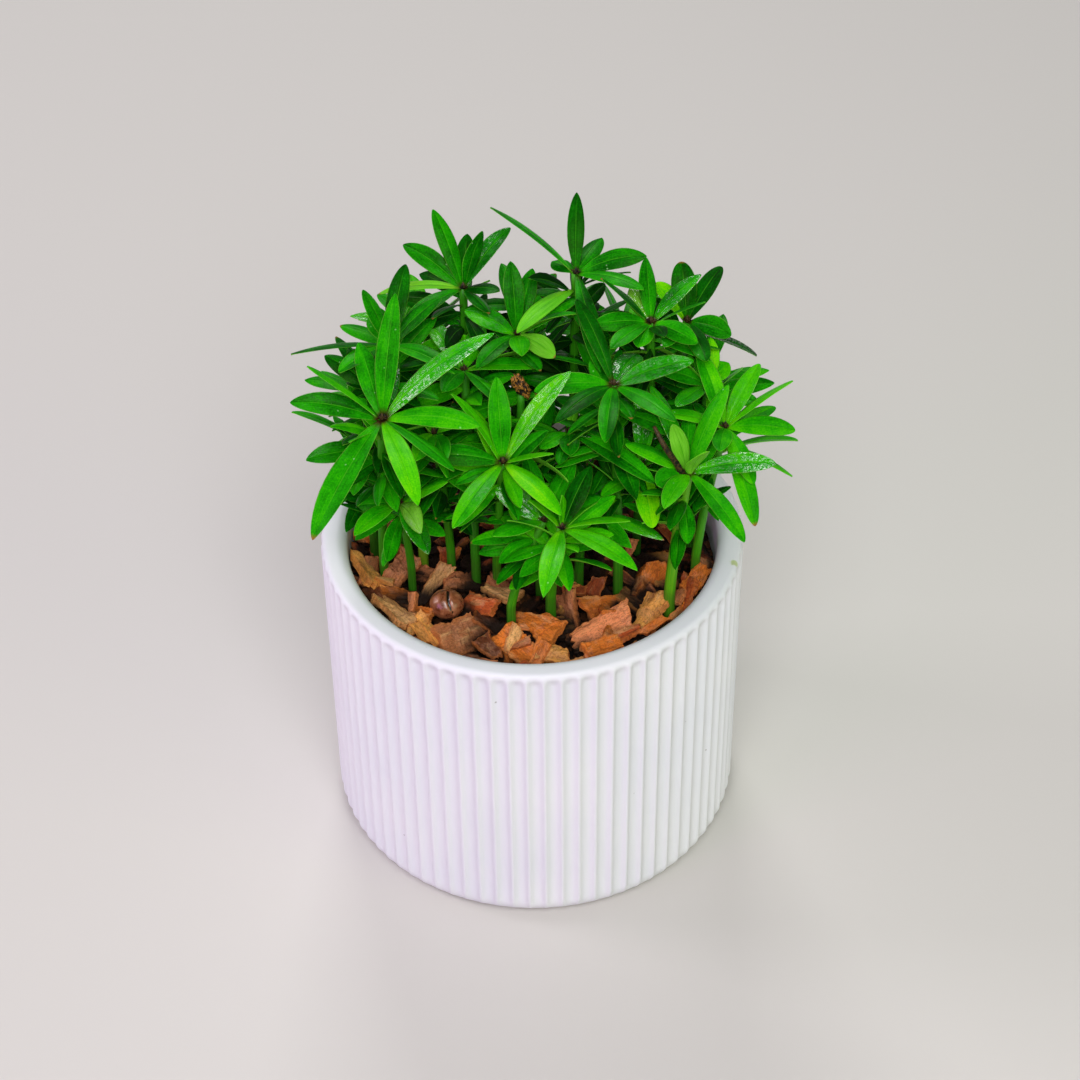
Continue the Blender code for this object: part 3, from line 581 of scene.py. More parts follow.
def bark_material():
    """Pine bark: chip is its colour and, in its alpha, painted shade from how deep it lies; grain is its
    length, width, height and tearing.
    """
    shader = Shader("bark_chips", Specular_IOR_Level=0.22)
    own, painted_shade = shader.stored("chip")
    length, width, height, torn = shader.channels("grain")
    along = vector(length * 0.25, width, height * 1.4)
    fibre = along.noise(260, 6, 0.6)
    crack = (along.noise(1300, 3, 0.6) - 0.5).math("ABSOLUTE").step(0.035, 0.008)
    place = shader.place()
    blotch = place.noise(230, 4, 0.6)
    crumbs = place.noise(1500, 4, 0.7)
    # Painted shade: near-black where a chip lies deep among the others
    painted_shade_mask = painted_shade + fibre.span(-0.15, 0.15)
    colour = own.under(
        (blotch.step(0.5, 0.62) * 0.25, (0.56, 0.27, 0.17)),
        (fibre.step(0.48, 0.36) * 0.5, (0.15, 0.036, 0.012)),
        (fibre.step(0.54, 0.66) * 0.4, (0.9, 0.52, 0.23)), (torn * 0.45, (0.64, 0.19, 0.035)),
        (crack * 0.4, (0.04, 0.012, 0.005)),
        (crumbs.step(0.4, 0.33) * 0.55, (0.05, 0.016, 0.007)), (painted_shade_mask.step(0.12, 0.7), (0.014, 0.005, 0.002)),
    )
    relief = fibre + crumbs * 0.7 - crack * 0.12
    return shader.finish(
        Base_Color=colour, Roughness=crumbs.span(0.55, 0.9), Normal=relief.bump(0.9, 0.45 * MM),
    )


def litter_material(name, dark, light):
    """Small crumbs of bark and soil, each with a tone of its own, and painted shade near-black in the gaps
    between them.
    """
    shader = Shader(name, Specular_IOR_Level=0.2)
    place = shader.place()
    coarse = place.noise(420, 5, 0.65)
    fine = place.noise(1900, 4, 0.6)
    shift = vector(coarse * (3 * MM), fine * (2 * MM), 0)
    bent = place.node("ShaderNodeVectorMath", {0: place, 1: shift}, operation="ADD")
    # Painted shade: the gaps between crumbs are mixed to near-black
    gap = bent.cells(330, feature="DISTANCE_TO_EDGE").step(0.16, 0.03)
    own = bent.cells(330, "Color") * 0.7 + fine.span(-0.1, 0.3)
    return shader.finish(
        Base_Color=gap.mix(own.ramp((0.1, dark), (0.9, light)), (0.004, 0.002, 0.001)),
        Roughness=fine.span(0.75, 1), Normal=(coarse + fine * 0.5 - gap).bump(1, 0.9 * MM),
    )


def seed_material():
    """Glossy red-brown seed coat: attribute chip is how deep in the crack a point is, and its place round."""
    shader = Shader("seed_coat", Specular_IOR_Level=0.6, Coat_Weight=0.5, Coat_Roughness=0.18)
    crack, ridge, _, _ = shader.channels("chip")
    mottle = shader.place().noise(420, 4, 0.6)
    stripes = vector(ridge * 30, mottle, 0).noise(1.4, 2)
    colour = mottle.ramp(
        (0.36, (0.13, 0.034, 0.014)), (0.52, (0.29, 0.09, 0.036)), (0.7, (0.5, 0.2, 0.09)),
    ).under(
        (stripes.span(0.3, 0, 0.35, 0.65), (0.06, 0.014, 0.008)),
        (crack.step(0.25, 0.7), (0.01, 0.004, 0.003)),
    )
    return shader.finish(
        Base_Color=colour, Roughness=mottle.span(0.22, 0.42), Normal=stripes.bump(0.3, 0.1 * MM),
    )


def ceramic_material():
    """Matt white ceramic with faint clouding, pin-prick specks and one small green stain on the lip."""
    shader = Shader("white_ceramic", Specular_IOR_Level=0.4)
    place = shader.place()
    fine = place.noise(900)
    cloud = place.noise(28).span(0, 1, 0.35, 0.65)
    speck = place.cells(190).step(0.075, 0.045) * place.noise(75, 0).step(0.69, 0.72)
    away = place.node("ShaderNodeVectorMath", {0: place, 1: STAIN_PLACE}, "Value", operation="DISTANCE")
    stain = (away + fine.span(-0.5 * MM, 0.5 * MM)).step(1.5 * MM, 0.5 * MM)
    colour = cloud.mix((0.765, 0.78, 0.835), (0.805, 0.815, 0.855)).under(
        (speck * 0.55, (0.24, 0.2, 0.19)), (stain * 0.75, (0.42, 0.52, 0.11)),
    )
    return shader.finish(
        Base_Color=colour, Roughness=fine.span(0.42, 0.56), Normal=fine.bump(0.12, 0.05 * MM),
    )


# Pot

def arc(radius, height, bend, angles, opening=lambda angle: 0):
    """A round stretch of a section: its middle, its own radius and the angles of its rows in degrees."""
    for angle in map(radians, angles):
        yield radius + bend * cos(angle), height + bend * sin(angle), opening(angle)


def pot_rows():
    """The pot's section from its floor, over the lip and down again: radius, height and share of flute."""
    arch = ARCH_FROM * LIP_OUTER
    rows = [
        (MIDDLE, FLOOR, 0), (BORE - 1.5 * FLOOR_ROUND, FLOOR, 0),
        *arc(BORE - FLOOR_ROUND, FLOOR + FLOOR_ROUND, FLOOR_ROUND, np.linspace(-90, 0, 5)),
        (BORE, BORE_RING, 0),
        *arc(BORE + LIP_INNER, POT_HEIGHT - LIP_INNER, LIP_INNER, np.linspace(180, 90, 8)),
        *arc(POT_RADIUS - LIP_OUTER, POT_HEIGHT - LIP_OUTER, LIP_OUTER, np.linspace(90, 0, 13),
             lambda angle: ease(max(0, ARCH_FROM - angle) * LIP_OUTER / FLUTE_END)),
    ]
    for k in range(1, 7):
        run = arch + (FLUTE_END - arch) * k / 6
        rows.append((POT_RADIUS, POT_HEIGHT - LIP_OUTER - run + arch, ease(run / FLUTE_END)))
    rows += [(POT_RADIUS, height * MM, 1) for height in WALL_RINGS]
    rows += arc(POT_RADIUS - FOOT_ROUND, FOOT_ROUND, FOOT_ROUND, np.linspace(0, -90, 13), lambda angle: 1)
    return rows + [(MIDDLE, 0, 0)]


def make_pot(ceramic):
    """Each flute is a shallow arc between two softened arrises that fades out at the lip and the foot."""
    mesh = Mesh()
    points = []
    rows = pot_rows()
    soft = 1 - ARRIS_SOFT
    for radius, height, opening in rows:
        depth = FLUTE_DEPTH * ease((height - FLUTE_FOOT) / FOOT_ROUND) * opening
        for flute in range(FLUTES):
            for across in FLUTE_POINTS:
                shape = 1 - across ** 2
                if abs(across) > soft:
                    shape = (1 - soft ** 2) * ((1 - abs(across)) / ARRIS_SOFT) ** 2
                angle = FLUTE_TURN + 2 * pi * (flute + (across + 1) / 2) / FLUTES
                points.append((*around(angle, radius - depth * shape), height))
    mesh.add(points, closed_tube(len(rows), FLUTES * len(FLUTE_POINTS)), 0)
    mesh.build("pot_fluted", [ceramic], "pot", "ceramic")


# Seedlings

def leaf(heading, rise, length, roll=0, drop=0):
    """One leaf from degrees and mm: heading from +X, rise, length, roll and how far below the crown."""
    return heading, rise, length * MM, roll, drop * MM


def ring(count, turn, rise, length, drop=0):
    """A whorl by rule: leaves a golden angle apart, each a little unlike the last."""
    draw = Draw(count * turn + length)
    for i in range(count):
        yield leaf(
            turn + GOLDEN_ANGLE * i + draw(-8, 8),
            rise + draw(-12, 12),
            length * draw(0.8, 1.1),
            draw.choice((0, 0, 20, -20, 50, -50)),
            drop * draw(0.7, 1.3) if drop else draw.choice((0, 0, 5)),
        )


def stem_line(foot, crown, shares):
    """Points up a stem: upright in the soil, then leaning over ever more."""
    start = Vector((foot[0] * MM, foot[1] * MM, STEM_FREE))
    end = Vector(crown) * MM
    line = [Vector((start.x, start.y, STEM_BOTTOM)), Vector((start.x, start.y, STEM_BEND)), start]
    for share in shares:
        lean = share ** STEM_LEAN
        line.append(Vector((
            start.x + (end.x - start.x) * lean,
            start.y + (end.y - start.y) * lean,
            start.z + (end.z - start.z) * share,
        )))
    return line


def add_tube(mesh, line, radii, slot, tone, seed, sides, wobble=0):
    """A round stalk along a line, closed at both ends, with each place round and up it for the shader."""
    points, blade = [], []
    for i, (spot, radius) in enumerate(zip(line, radii)):
        ahead = (line[min(i + 1, len(line) - 1)] - line[max(i - 1, 0)]).normalized()
        side = ahead.cross(SIDEWAYS).normalized()
        up = side.cross(ahead)
        for k in range(sides):
            angle = 2 * pi * k / sides
            uneven = 1 + wobble * noise.noise(Vector((*around(angle, 3), 400 * spot.z + seed * 9)))
            points.append(spot + (side * cos(angle) + up * sin(angle)) * radius * uneven)
            blade.append((abs(2 * k / sides - 1), i / (len(line) - 1), tone, 0))
    mesh.add(points, closed_tube(len(line), sides), slot, blade=blade, trait=(0, 0, seed, 0))


def leaf_axes(blade):
    """Along a leaf, level across it, and out of its face before it rolls."""
    heading, rise = radians(blade[0]), radians(blade[1])
    along = Vector((cos(heading) * cos(rise), sin(heading) * cos(rise), sin(rise)))
    level = Vector((-sin(heading), cos(heading), 0))
    return along, level, along.cross(level)


def leaf_root(line, drop, heading):
    """Where a leaf leaves the stem, just inside its skin."""
    down = (line[-2] - line[-1]).normalized()
    return line[-1] + down * drop + around(radians(heading)).to_3d() * LEAF_ROOT


def outline(share, widest, blunt):
    """A blade's half-width as a share of its greatest: slim at its foot, blunt at its end."""
    if share < widest:
        return PETIOLE + (1 - PETIOLE) * sin(pi / 2 * share / widest) ** 0.92
    return (1 - ((share - widest) / (1 - widest)) ** 2.1) ** blunt


def add_blade(mesh, root, blade, width, look, draw, fine=True):
    """A leaf with a groove above and a keel below its midrib, thin margins, a bow and a slight twist."""
    along, level, lift = leaf_axes(blade)
    length = blade[2]
    roll = radians(look.get("roll", blade[3]))
    curl = look.get("curl", 0)
    fold = look.get("fold", draw(-0.16, 0.26))
    arch = draw(0.02, 0.12) + curl
    twist = radians(draw(-14, 14))
    bend = draw(-0.03, 0.03)
    droop = draw(-0.02, 0.05) + 0.12 * curl
    widest = draw(0.48, 0.6)
    blunt = look.get("blunt", draw(0.6, 0.86)) + 0.04
    wave = draw(0, 0.03)
    phase = draw(0, 6.3)
    seed = draw.random()
    brown_tip = int(draw.random() < 0.1)
    tone = min(1, max(0, look["tone"] + draw(-0.2, 0.14)))
    pale = look.get("pale", 0)
    gloss = look.get("gloss", 0.6 if draw.random() < 0.06 else draw(0, 0.02))
    stations, over, under = (ALONG, ACROSS_TOP, ACROSS_UNDER) if fine else (FILL_ALONG, FILL_TOP, FILL_UNDER)

    def centre(share):
        bow = LEAF_BOW * 4 * share * (1 - share) - droop * share ** 3
        return root + along * length * share + lift * length * bow + level * length * bend * share ** 2

    points, values = [], []
    for share in stations:
        spin = Matrix.Rotation(roll + twist * (share - 0.5), 3, along)
        side, face = spin @ level, spin @ lift
        half = width / 2 * outline(share, widest, blunt)
        middle = centre(share)
        opened = min(1, share / PETIOLE_LENGTH)
        for upper, row in ((True, over), (False, under)):
            for across in row:
                rise = half * (fold * abs(across) - arch * across ** 2) * opened
                rise += half * wave * sin(9 * share + phase + 2 * across) * abs(across)
                thick = BLADE_THICK + (MARGIN_THICK - BLADE_THICK) * abs(across) ** 1.5
                if upper:
                    rise += thick / 2 - GROOVE * exp(-(across / GROOVE_WIDTH) ** 2) * opened
                else:
                    rise -= thick / 2 + KEEL * exp(-(across / KEEL_WIDTH) ** 2)
                    rise -= (1 - opened) * half * PETIOLE_DEEP * (1 - across ** 2)
                points.append(middle + side * half * across + face * rise)
                values.append(((across + 1) / 2, share, tone, pale if upper else 1))
    points.append(centre(1))
    values.append((0.5, 1, tone, pale))
    faces = pointed_tube(len(stations), len(over) + len(under))
    mesh.add(points, faces, 0, blade=values, trait=(look.get("brown", 0), brown_tip, seed, gloss))


def placed_leaves(seedling, node):
    """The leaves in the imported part: each took the first nudge that was clear, and its tip shows which."""
    foot, crown, width, seen = SEEDLINGS[seedling]
    blades = [leaf(*row) for row in seen]
    for whorl in WHORLS.get(seedling, ()):
        blades += ring(*whorl)
    line = stem_line(foot, crown, SOLID_STEM)
    tips = np.array([vertex.co for vertex in node.data.vertices])
    found = []
    for number, (heading, rise, length, roll, drop) in enumerate(blades):
        for turn, rise_more in NUDGES:
            blade = (heading + turn, rise + rise_more, length, roll, drop)
            root = leaf_root(line, drop, heading + turn)
            if np.abs(tips - np.array(root + leaf_axes(blade)[0] * length)).sum(axis=1).min() < SAME_POINT:
                found.append((number, root, blade, width * MM))
                break
    return found


def stand_in(root, blade, width):
    """A flat stand-in for a blade beyond its foot, for finding leaves that touch."""
    along, level, lift = leaf_axes(blade)
    side = Matrix.Rotation(radians(blade[3]), 3, along) @ level
    points = []
    for share in STAND_IN:
        middle = root + along * blade[2] * share + lift * blade[2] * LEAF_BOW * 4 * share * (1 - share)
        half = width / 2 * outline(share, 0.6, 0.7)
        points += [middle - side * half, middle + side * half]
    return BVHTree.FromPolygons(points, [(0, 1, 3, 2), (2, 3, 5, 4), (4, 5, 7, 6)])


def filling_leaf(line, heading, drop, length, trees, draw):
    """A leaf about there on a stem, or None where it leaves the clump or touches another."""
    heading += draw(-30, 30)
    down = (drop + draw(-4, 4)) * MM
    blade = (heading, draw(-14, 38), length * draw(0.8, 1.2) * MM, draw(-45, 45), down)
    root = leaf_root(line, down, heading)
    width = draw(4.6, 6) * MM
    tip = root + leaf_axes(blade)[0] * blade[2]
    if hypot(tip.x, tip.y) > FILL_REACH or tip.z < FILL_LOWEST:
        return None
    tree = stand_in(root, blade, width)
    if any(tree.overlap(other) for other in trees):
        return None
    trees.append(tree)
    return root, blade, width


def filling_leaves(grown):
    """Small leaves further down the stems, which make the plant as dense inside as the real one."""
    draw = Draw(5)
    trees = [stand_in(*placed[1:]) for leaves in grown.values() for placed in leaves]
    extra = {seedling: [] for seedling in grown}
    for seedling, (foot, crown, _, _) in SEEDLINGS.items():
        line = stem_line(foot, crown, SOLID_STEM)
        for count, drop, length in FILL_RINGS:
            if drop > crown[2] - FILL_STEM_FROM:
                continue
            turn = draw(0, 360)
            for i in range(count):
                for _ in range(FILL_TRIES):
                    made = filling_leaf(line, turn + GOLDEN_ANGLE * i, drop, length, trees, draw)
                    if made:
                        extra[seedling].append(made)
                        break
    return extra


def add_crown(mesh, line, tone, seed, draw):
    """The bud at the top of a stem: a few short scales round a point."""
    top = line[-1]
    for i in range(6):
        heading = GOLDEN_ANGLE * i + draw(-15, 15)
        blade = (heading, 50 + draw(-15, 15), draw(1, 1.8) * MM, 0, 0)
        add_scale(mesh, top + around(radians(heading)).to_3d() * 0.35 * MM, blade, 0.7 * MM, seed)
    tip = [top, top + Vector((0, 0, 1 * MM)), top + Vector((0.1 * MM, 0, 1.9 * MM))]
    add_tube(mesh, tip, (0.8 * MM, 0.5 * MM, 0.2 * MM), 2, tone, seed, 10)


def add_scale(mesh, root, blade, width, seed):
    """A small stiff scale: a flattened cone of three rings and a point."""
    along, level, lift = leaf_axes(blade)
    sides = 6
    points = []
    for share, half in ((0, 0.8), (0.4, 1), (0.8, 0.5)):
        middle = root + along * blade[2] * share + lift * blade[2] * 0.2 * share * (1 - share)
        for k in range(sides):
            out = around(2 * pi * k / sides)
            points.append(middle + level * half * width / 2 * out.x + lift * 0.25 * width * out.y)
    points.append(root + along * blade[2])
    mesh.add(points, pointed_tube(3, sides), 2, blade=(0.5, 0.5, 0.5, 0), trait=(1, 0, seed, 0))


def make_seedlings(nodes, blade, skin, wood):
    """Each seedling in place of its node: the stem, the leaves of the part, filling leaves and the bud.

    A leaf that stands edge on is turned a little, so that it shows a sliver of its face.
    """
    grown = {seedling: placed_leaves(seedling, nodes[f"seedling_{seedling:02d}"]) for seedling in SEEDLINGS}
    extra = filling_leaves(grown)
    for order, (seedling, (foot, crown, _, seen)) in enumerate(SEEDLINGS.items()):
        draw = Draw(100 + order)
        tone, brown, blunt = LOOKS.get(seedling, DEFAULT_LOOK)
        mesh = Mesh("blade", "trait")
        line = stem_line(foot, crown, STEM_SHARES)
        seed = draw.random()
        drawn = draw(1.2, 1.5), 0.42 + draw(-0.1, 0.14)
        thick, stem_tone = STEM_LOOKS.get(seedling, drawn)
        radii = [thick * MM * (1 - 0.14 * i / (len(line) - 1)) for i in range(len(line))]
        add_tube(mesh, line, radii, 1, stem_tone, seed, 16, 0.05)
        for number, root, placed, width in grown[seedling]:
            look = {"tone": tone, "brown": brown}
            if abs(placed[3]) == EDGE_ON:
                look["roll"] = EDGE_ON_EASED * placed[3]
            if blunt and number < len(seen):
                look["blunt"] = blunt
            look.update(SPECIAL.get(seedling, {}).get(number, {}))
            add_blade(mesh, root, placed, width * look.get("broad", BROAD), look, draw)
        for root, placed, width in extra[seedling]:
            # Painted shade: filling leaves are darker than the others, and darker still the further down the
            # stem they sit
            look = {"tone": tone - 0.04 - 6 * placed[4], "gloss": 0}
            add_blade(mesh, root, placed, width * BROAD, look, draw, False)
        add_crown(mesh, line, stem_tone, seed, draw)
        if seedling == SHOOT_OWNER:
            steps = [Vector(crown) * MM + Vector(step) * MM for step in SHOOT_STEPS]
            shoot = [steps[0], steps[0].lerp(steps[1], 0.5), *steps[1:]]
            add_tube(mesh, shoot, SHOOT_RADII, 2, 0.5, seed, 12, 0.12)
        name = f"seedling_{seedling:02d}"
        mesh.build(f"{name}_grown", [blade, skin, wood], name, "leaf")


def make_sprout(skin, husk_finish):
    """A leafless sprout whose tip is still inside its dried, torn seed coat."""
    mesh = Mesh("blade", "trait")
    line = stem_line(SPROUT_FOOT, SPROUT_TOP, STEM_SHARES)
    radii = [STEM_RADIUS * (1 - 0.4 * i / (len(line) - 1)) for i in range(len(line))]
    add_tube(mesh, line, radii, 0, 0.4, 0.3, 14, 0.04)
    turn = Matrix.Rotation(HUSK_TILT, 3, "Y")
    centre = line[-1] + Vector((0, 0, 0.6 * HUSK_RADII[2]))
    points = []
    for _, unit in ball(*HUSK_GRID):
        crumple = 0.8 + 0.42 * noise.fractal(unit * 3.1, 0.8, 2, 5)
        points.append(centre + turn @ Vector(unit[j] * HUSK_RADII[j] * min(crumple, 1.08) for j in range(3)))
    mesh.add(points, turned(closed_tube(*HUSK_GRID)), 1)
    mesh.build("sprout_grown", [skin, husk_finish], "sprout", "leaf")


# Bark

ORANGE = (0.86, 0.225, 0.026)
TAN = (0.84, 0.37, 0.085)
PINK = (0.78, 0.265, 0.105)
RED = (0.52, 0.095, 0.02)
DARK = (0.2, 0.05, 0.015)
PALE = (0.95, 0.48, 0.18)
PALETTE = (ORANGE, TAN, PINK, RED, PINK, ORANGE, DARK, PALE, RED, TAN)

# Chips in the photo, in mm and degrees: place in x and y, length, width, heading, pitch, roll, colour.
# A separate program worked out most places, lengths and headings from ends read by eye; they are rounded
SEEN_CHIPS = (
    (19, -33, 19, 11, 28, 8, 20, PINK), (-20, -35.5, 15, 12, 40, -12, 22, PINK),
    (23, -22, 21, 8, 25, -20, 34, ORANGE), (-39.5, -25, 18, 7, -52, 4, -28, PALE),
    (-33, -24, 13, 6, -40, 10, 30, ORANGE), (-29, -33, 12, 7, -52, -6, -24, TAN),
    (-14.5, -23, 12, 9, -36, 24, 34, RED), (-9, -16.5, 12, 8, -36, 6, -12, PALE),
    (-4, -6, 14, 8, 63, 36, 20, RED), (1, -32, 15, 10, -41, 8, 20, ORANGE),
    (-4.5, -39.5, 13, 10, -43, -8, 18, ORANGE), (10, -27, 17, 8, -81, -22, 44, PINK),
    (33, -14, 16, 8, 62, 38, 24, ORANGE), (33, -27, 14, 9, 63, 10, -18, TAN),
    (42, -21, 15, 8, 69, 26, -40, RED), (-38.5, -9, 13, 9, 58, 14, 12, PINK),
    (-47, -8, 17, 7, -68, 6, -38, TAN), (-28, -13.5, 14, 5, 51, 26, 44, PALE),
    (5, -43.5, 10, 7, -17, 0, 14, TAN), (16.5, -18, 10, 7, 58, 40, 14, RED),
    (46, -14, 10, 6, 53, 12, 16, ORANGE), (19, -41.5, 11, 6, 26, -4, 10, ORANGE),
    (-12, -41, 9, 6, -58, 6, 12, DARK), (-47, 5, 12, 8, -20, 8, -20, RED),
    (39, 14, 13, 7, -87, 14, 22, TAN), (26, -36, 8, 5, 27, 4, -14, RED),
)
SEEN_THICK = (1.8, 2.8)

# Drawn chips: how many, the distance from the pot, then the spans of their sizes in mm and turns in degrees
FIELD = 66, 4 * MM, ((10, 17), (6, 9), (1.5, 2.6)), ((0, 360), (-22, 22), (-30, 30))
RIM = 34, 4.5 * MM, ((8, 13), (4, 7), (1.5, 2.4)), ((-35, 35), (-20, 20), (-34, 34))
SCRAPS = 60, 2.5 * MM, ((4, 9), (2.5, 5), (1.1, 2)), ((0, 360), (-32, 32), (-40, 40))
SCRAP_TRIES = 2
CLEAR_OF_SEED = 11 * MM
SCRAP_CLEAR_OF_SEED = 8 * MM
FIELD_TOP = 92.4 * MM
CHIP_GRID = (20, 9)
SCRAP_GRID = (11, 6)
CHIP_KNOTS = 6
CHIP_TAPERS = ((1, 0.55), (0.6, 1), (0.95, 0.9), (1, 0.75), (0.35, 1))
CHIP_REST = 0.86
BED_GRID = (26, 96)
BED_SINK = 1 * MM
BED_ROUGH = 1.3 * MM
SEED_GRID = (40, 64)
CRACK_DEPTH = 0.16
CELL = 1 * MM
# Depth under the chips at which the painted shade is full
DARK_DEPTH = 2.3 * MM


def between(values, share):
    """The value at a share of the way along a list of evenly spaced ones."""
    place = min(max(share, 0), 1) * (len(values) - 1)
    near = min(int(place), len(values) - 2)
    return values[near] + (values[near + 1] - values[near]) * (place - near)


def chip_plan(length, width, grid, draw):
    """A shard from above, as rows along its fibres, with broken sides and splintered ends."""
    rows, columns = grid
    first, last = draw.choice(CHIP_TAPERS)
    taper = (last - first) / (CHIP_KNOTS - 1)
    half = [first + taper * k + draw(-0.12, 0.05) for k in range(CHIP_KNOTS)]
    shift = [draw(-0.1, 0.1) for _ in range(CHIP_KNOTS)]
    slants = draw(-0.22, 0.22), draw(-0.22, 0.22)
    ends = [(draw(-0.1, 0.05), draw(-0.1, 0.05)) for _ in range(columns)]
    plan = []
    for i in range(rows):
        share = i / (rows - 1)
        u = 2 * share - 1
        for j in range(columns):
            v = 2 * j / (columns - 1) - 1
            splinter = (ends[j][u > 0] * abs(u) ** 5 + slants[u > 0] * v * abs(u)) * copysign(1, u)
            notch = draw(-0.12, 0.05) * v if abs(v) == 1 else 0
            plan.append(Vector((
                length / 2 * (u + splinter),
                width / 2 * ((v + notch) * between(half, share) + between(shift, share)),
            )))
    return plan


def shard_faces(grid):
    """Quads of a closed slab: a grid of points above, one below, and the wall round them."""
    rows, columns = grid
    below = rows * columns
    faces = []
    for i in range(rows - 1):
        for j in range(columns - 1):
            a = i * columns + j
            b, c, d = a + columns, a + columns + 1, a + 1
            faces += [(a, b, c, d), (below + a, below + d, below + c, below + b)]
    rim = [i * columns for i in range(rows)] + [(rows - 1) * columns + j for j in range(1, columns)]
    rim += [i * columns + columns - 1 for i in range(rows - 2, -1, -1)] + list(range(columns - 2, 0, -1))
    for near, far in zip(rim, rim[1:] + rim[:1]):
        faces.append((near, below + near, below + far, far))
    return faces


class Heap:
    """The chips, and a height map of them, so that each comes to rest on those under it."""

    def __init__(self):
        self.draw = Draw(21)
        self.mesh = Mesh("chip", "grain")
        self.feet = [Vector(plan[0]) * MM for plan in SEEDLINGS.values()] + [Vector(SPROUT_FOOT) * MM]
        self.size = int(2 * FILL_RADIUS / CELL) + 3
        self.top = np.full((self.size, self.size), BED_TOP)

    def cell(self, spot):
        return tuple(
            min(self.size - 1, max(0, int((spot[axis] + FILL_RADIUS) / CELL) + 1)) for axis in range(2)
        )

    def rest(self, spots, thickness, ceiling):
        """How far to lift a chip whose sample points lie at these spots, and records its new top."""
        cells = [self.cell(spot) for spot in spots]
        gaps = sorted(self.top[cell] + thickness / 2 - spot.z for cell, spot in zip(cells, spots))
        lift = gaps[int(CHIP_REST * (len(gaps) - 1))]
        highest = max(spot.z for spot in spots) + lift + thickness / 2
        lift -= max(0, highest - ceiling)
        for cell, spot in zip(cells, spots):
            self.top[cell] = max(self.top[cell], spot.z + lift + thickness / 2)
        return lift

    def painted_shade(self, spot):
        """Painted shade for a point, from how deep it lies under the chips beside it and below the top of the
        bark: 0 on top, 1 from DARK_DEPTH down.
        """
        i, j = self.cell(spot)
        beside = self.top[max(0, i - 2):i + 3, max(0, j - 2):j + 3]
        hidden = (float(beside.mean()) + 0.5 * MM - spot[2]) / DARK_DEPTH
        low = (BARK_TOP - 2.4 * MM - spot[2]) / (2 * DARK_DEPTH)
        return min(1, max(0, hidden, low))

    def add(self, place, size, turns, colour, grid=CHIP_GRID, ceiling=BARK_TOP):
        """One shard: flaking layers and fibres on its faces, thin torn edges and a slight curl."""
        draw = self.draw
        length, width, thickness = size
        heading, pitch, roll = turns
        rows, columns = grid
        plan = chip_plan(length, width, grid, draw)
        turn = Euler((radians(roll), radians(-pitch), radians(heading)), "XYZ").to_matrix()
        offset = Vector(draw(0, 9) for _ in range(3))
        curl, bow = draw(-0.06, 0.1) * width, draw(-0.03, 0.05) * length
        spot = place.to_3d()
        clear = STEM_RADIUS + width * 0.5
        for foot in self.feet:
            away = spot.xy - foot
            if away.length < clear:
                spot.xy += away.normalized() * (clear - away.length) * 0.8

        def uneven(*at):
            return noise.noise(Vector(at) + offset)

        points, grain = [], []
        for upper in (True, False):
            for k, (x, y) in enumerate(plan):
                i, j = divmod(k, columns)
                rim = i in (0, rows - 1) or j in (0, columns - 1)
                flake = 0.2 * round(uneven(x * 120, y * 330, 3 + 5 * upper) * 2.6) * thickness
                fibre = 0.16 * MM * uneven(x * 190, y * 1500, 7)
                rough = 0.14 * MM * uneven(x * 1300, y * 1300, 11 + upper)
                rise = max(0.12 * thickness, thickness * (0.42 if rim else 0.5) + flake + fibre + rough)
                bend = curl * ((2 * y / width) ** 2 - 0.3) + bow * ((2 * x / length) ** 2 - 0.3)
                points.append(Vector((x, y, (rise if upper else -rise) + bend)))
                grain.append((x + offset.x, y + offset.y, points[-1].z + offset.z, 1 if rim else 0))
        half = Vector((0, 0, thickness / 2))
        lift = self.rest([spot + turn @ point - half for point in points[:len(plan):3]], thickness, ceiling)
        placed = []
        for local in points:
            world = spot + turn @ local + Vector((0, 0, lift))
            out = world.xy.length / BED_RADIUS
            if out > 1:
                world.xy /= out
            world.z = min(max(world.z, BED_BOTTOM + 0.5 * MM), BARK_TOP)
            placed.append(world)
        shade = draw(0.46, 1.12)
        own = (*(channel * shade for channel in colour), 1)
        self.mesh.add(placed, shard_faces(grid), 1, chip=own, grain=grain)

    def scatter(self, place, heading, sizes, turns, clear=0, **how):
        """A chip of drawn size, turns and colour, unless it would lie on the seed."""
        size = [self.draw(*span) * MM for span in sizes]
        turns = [start + self.draw(*span) for start, span in zip((heading, 0, 0), turns)]
        if (place - SEED_PLACE.xy).length > clear:
            self.add(place, size, turns, self.draw.choice(PALETTE), **how)

    def lowest(self, margin):
        """The lowest of a few drawn places."""
        tries = []
        for _ in range(SCRAP_TRIES):
            reach = sqrt(self.draw.random()) * (FILL_RADIUS - margin)
            spot = around(self.draw(0, 2 * pi), reach)
            tries.append((self.top[self.cell(spot)], spot))
        return min(tries, key=lambda found: found[0])[1]


def add_bed(mesh):
    """The crumbs under the chips: an uneven disc."""
    rounds, steps = BED_GRID
    points = []
    for i in range(1, rounds + 1):
        for k in range(steps):
            spot = around(2 * pi * k / steps, BED_RADIUS * i / rounds).to_3d()
            uneven = BED_ROUGH * noise.fractal(spot * 260, 1, 2, 3)
            points.append(spot + Vector((0, 0, BED_TOP - BED_SINK + uneven)))
    points += [Vector((spot.x, spot.y, BED_BOTTOM)) for spot in points[-steps:]]
    mesh.add(points, closed_tube(rounds + 1, steps), 0)


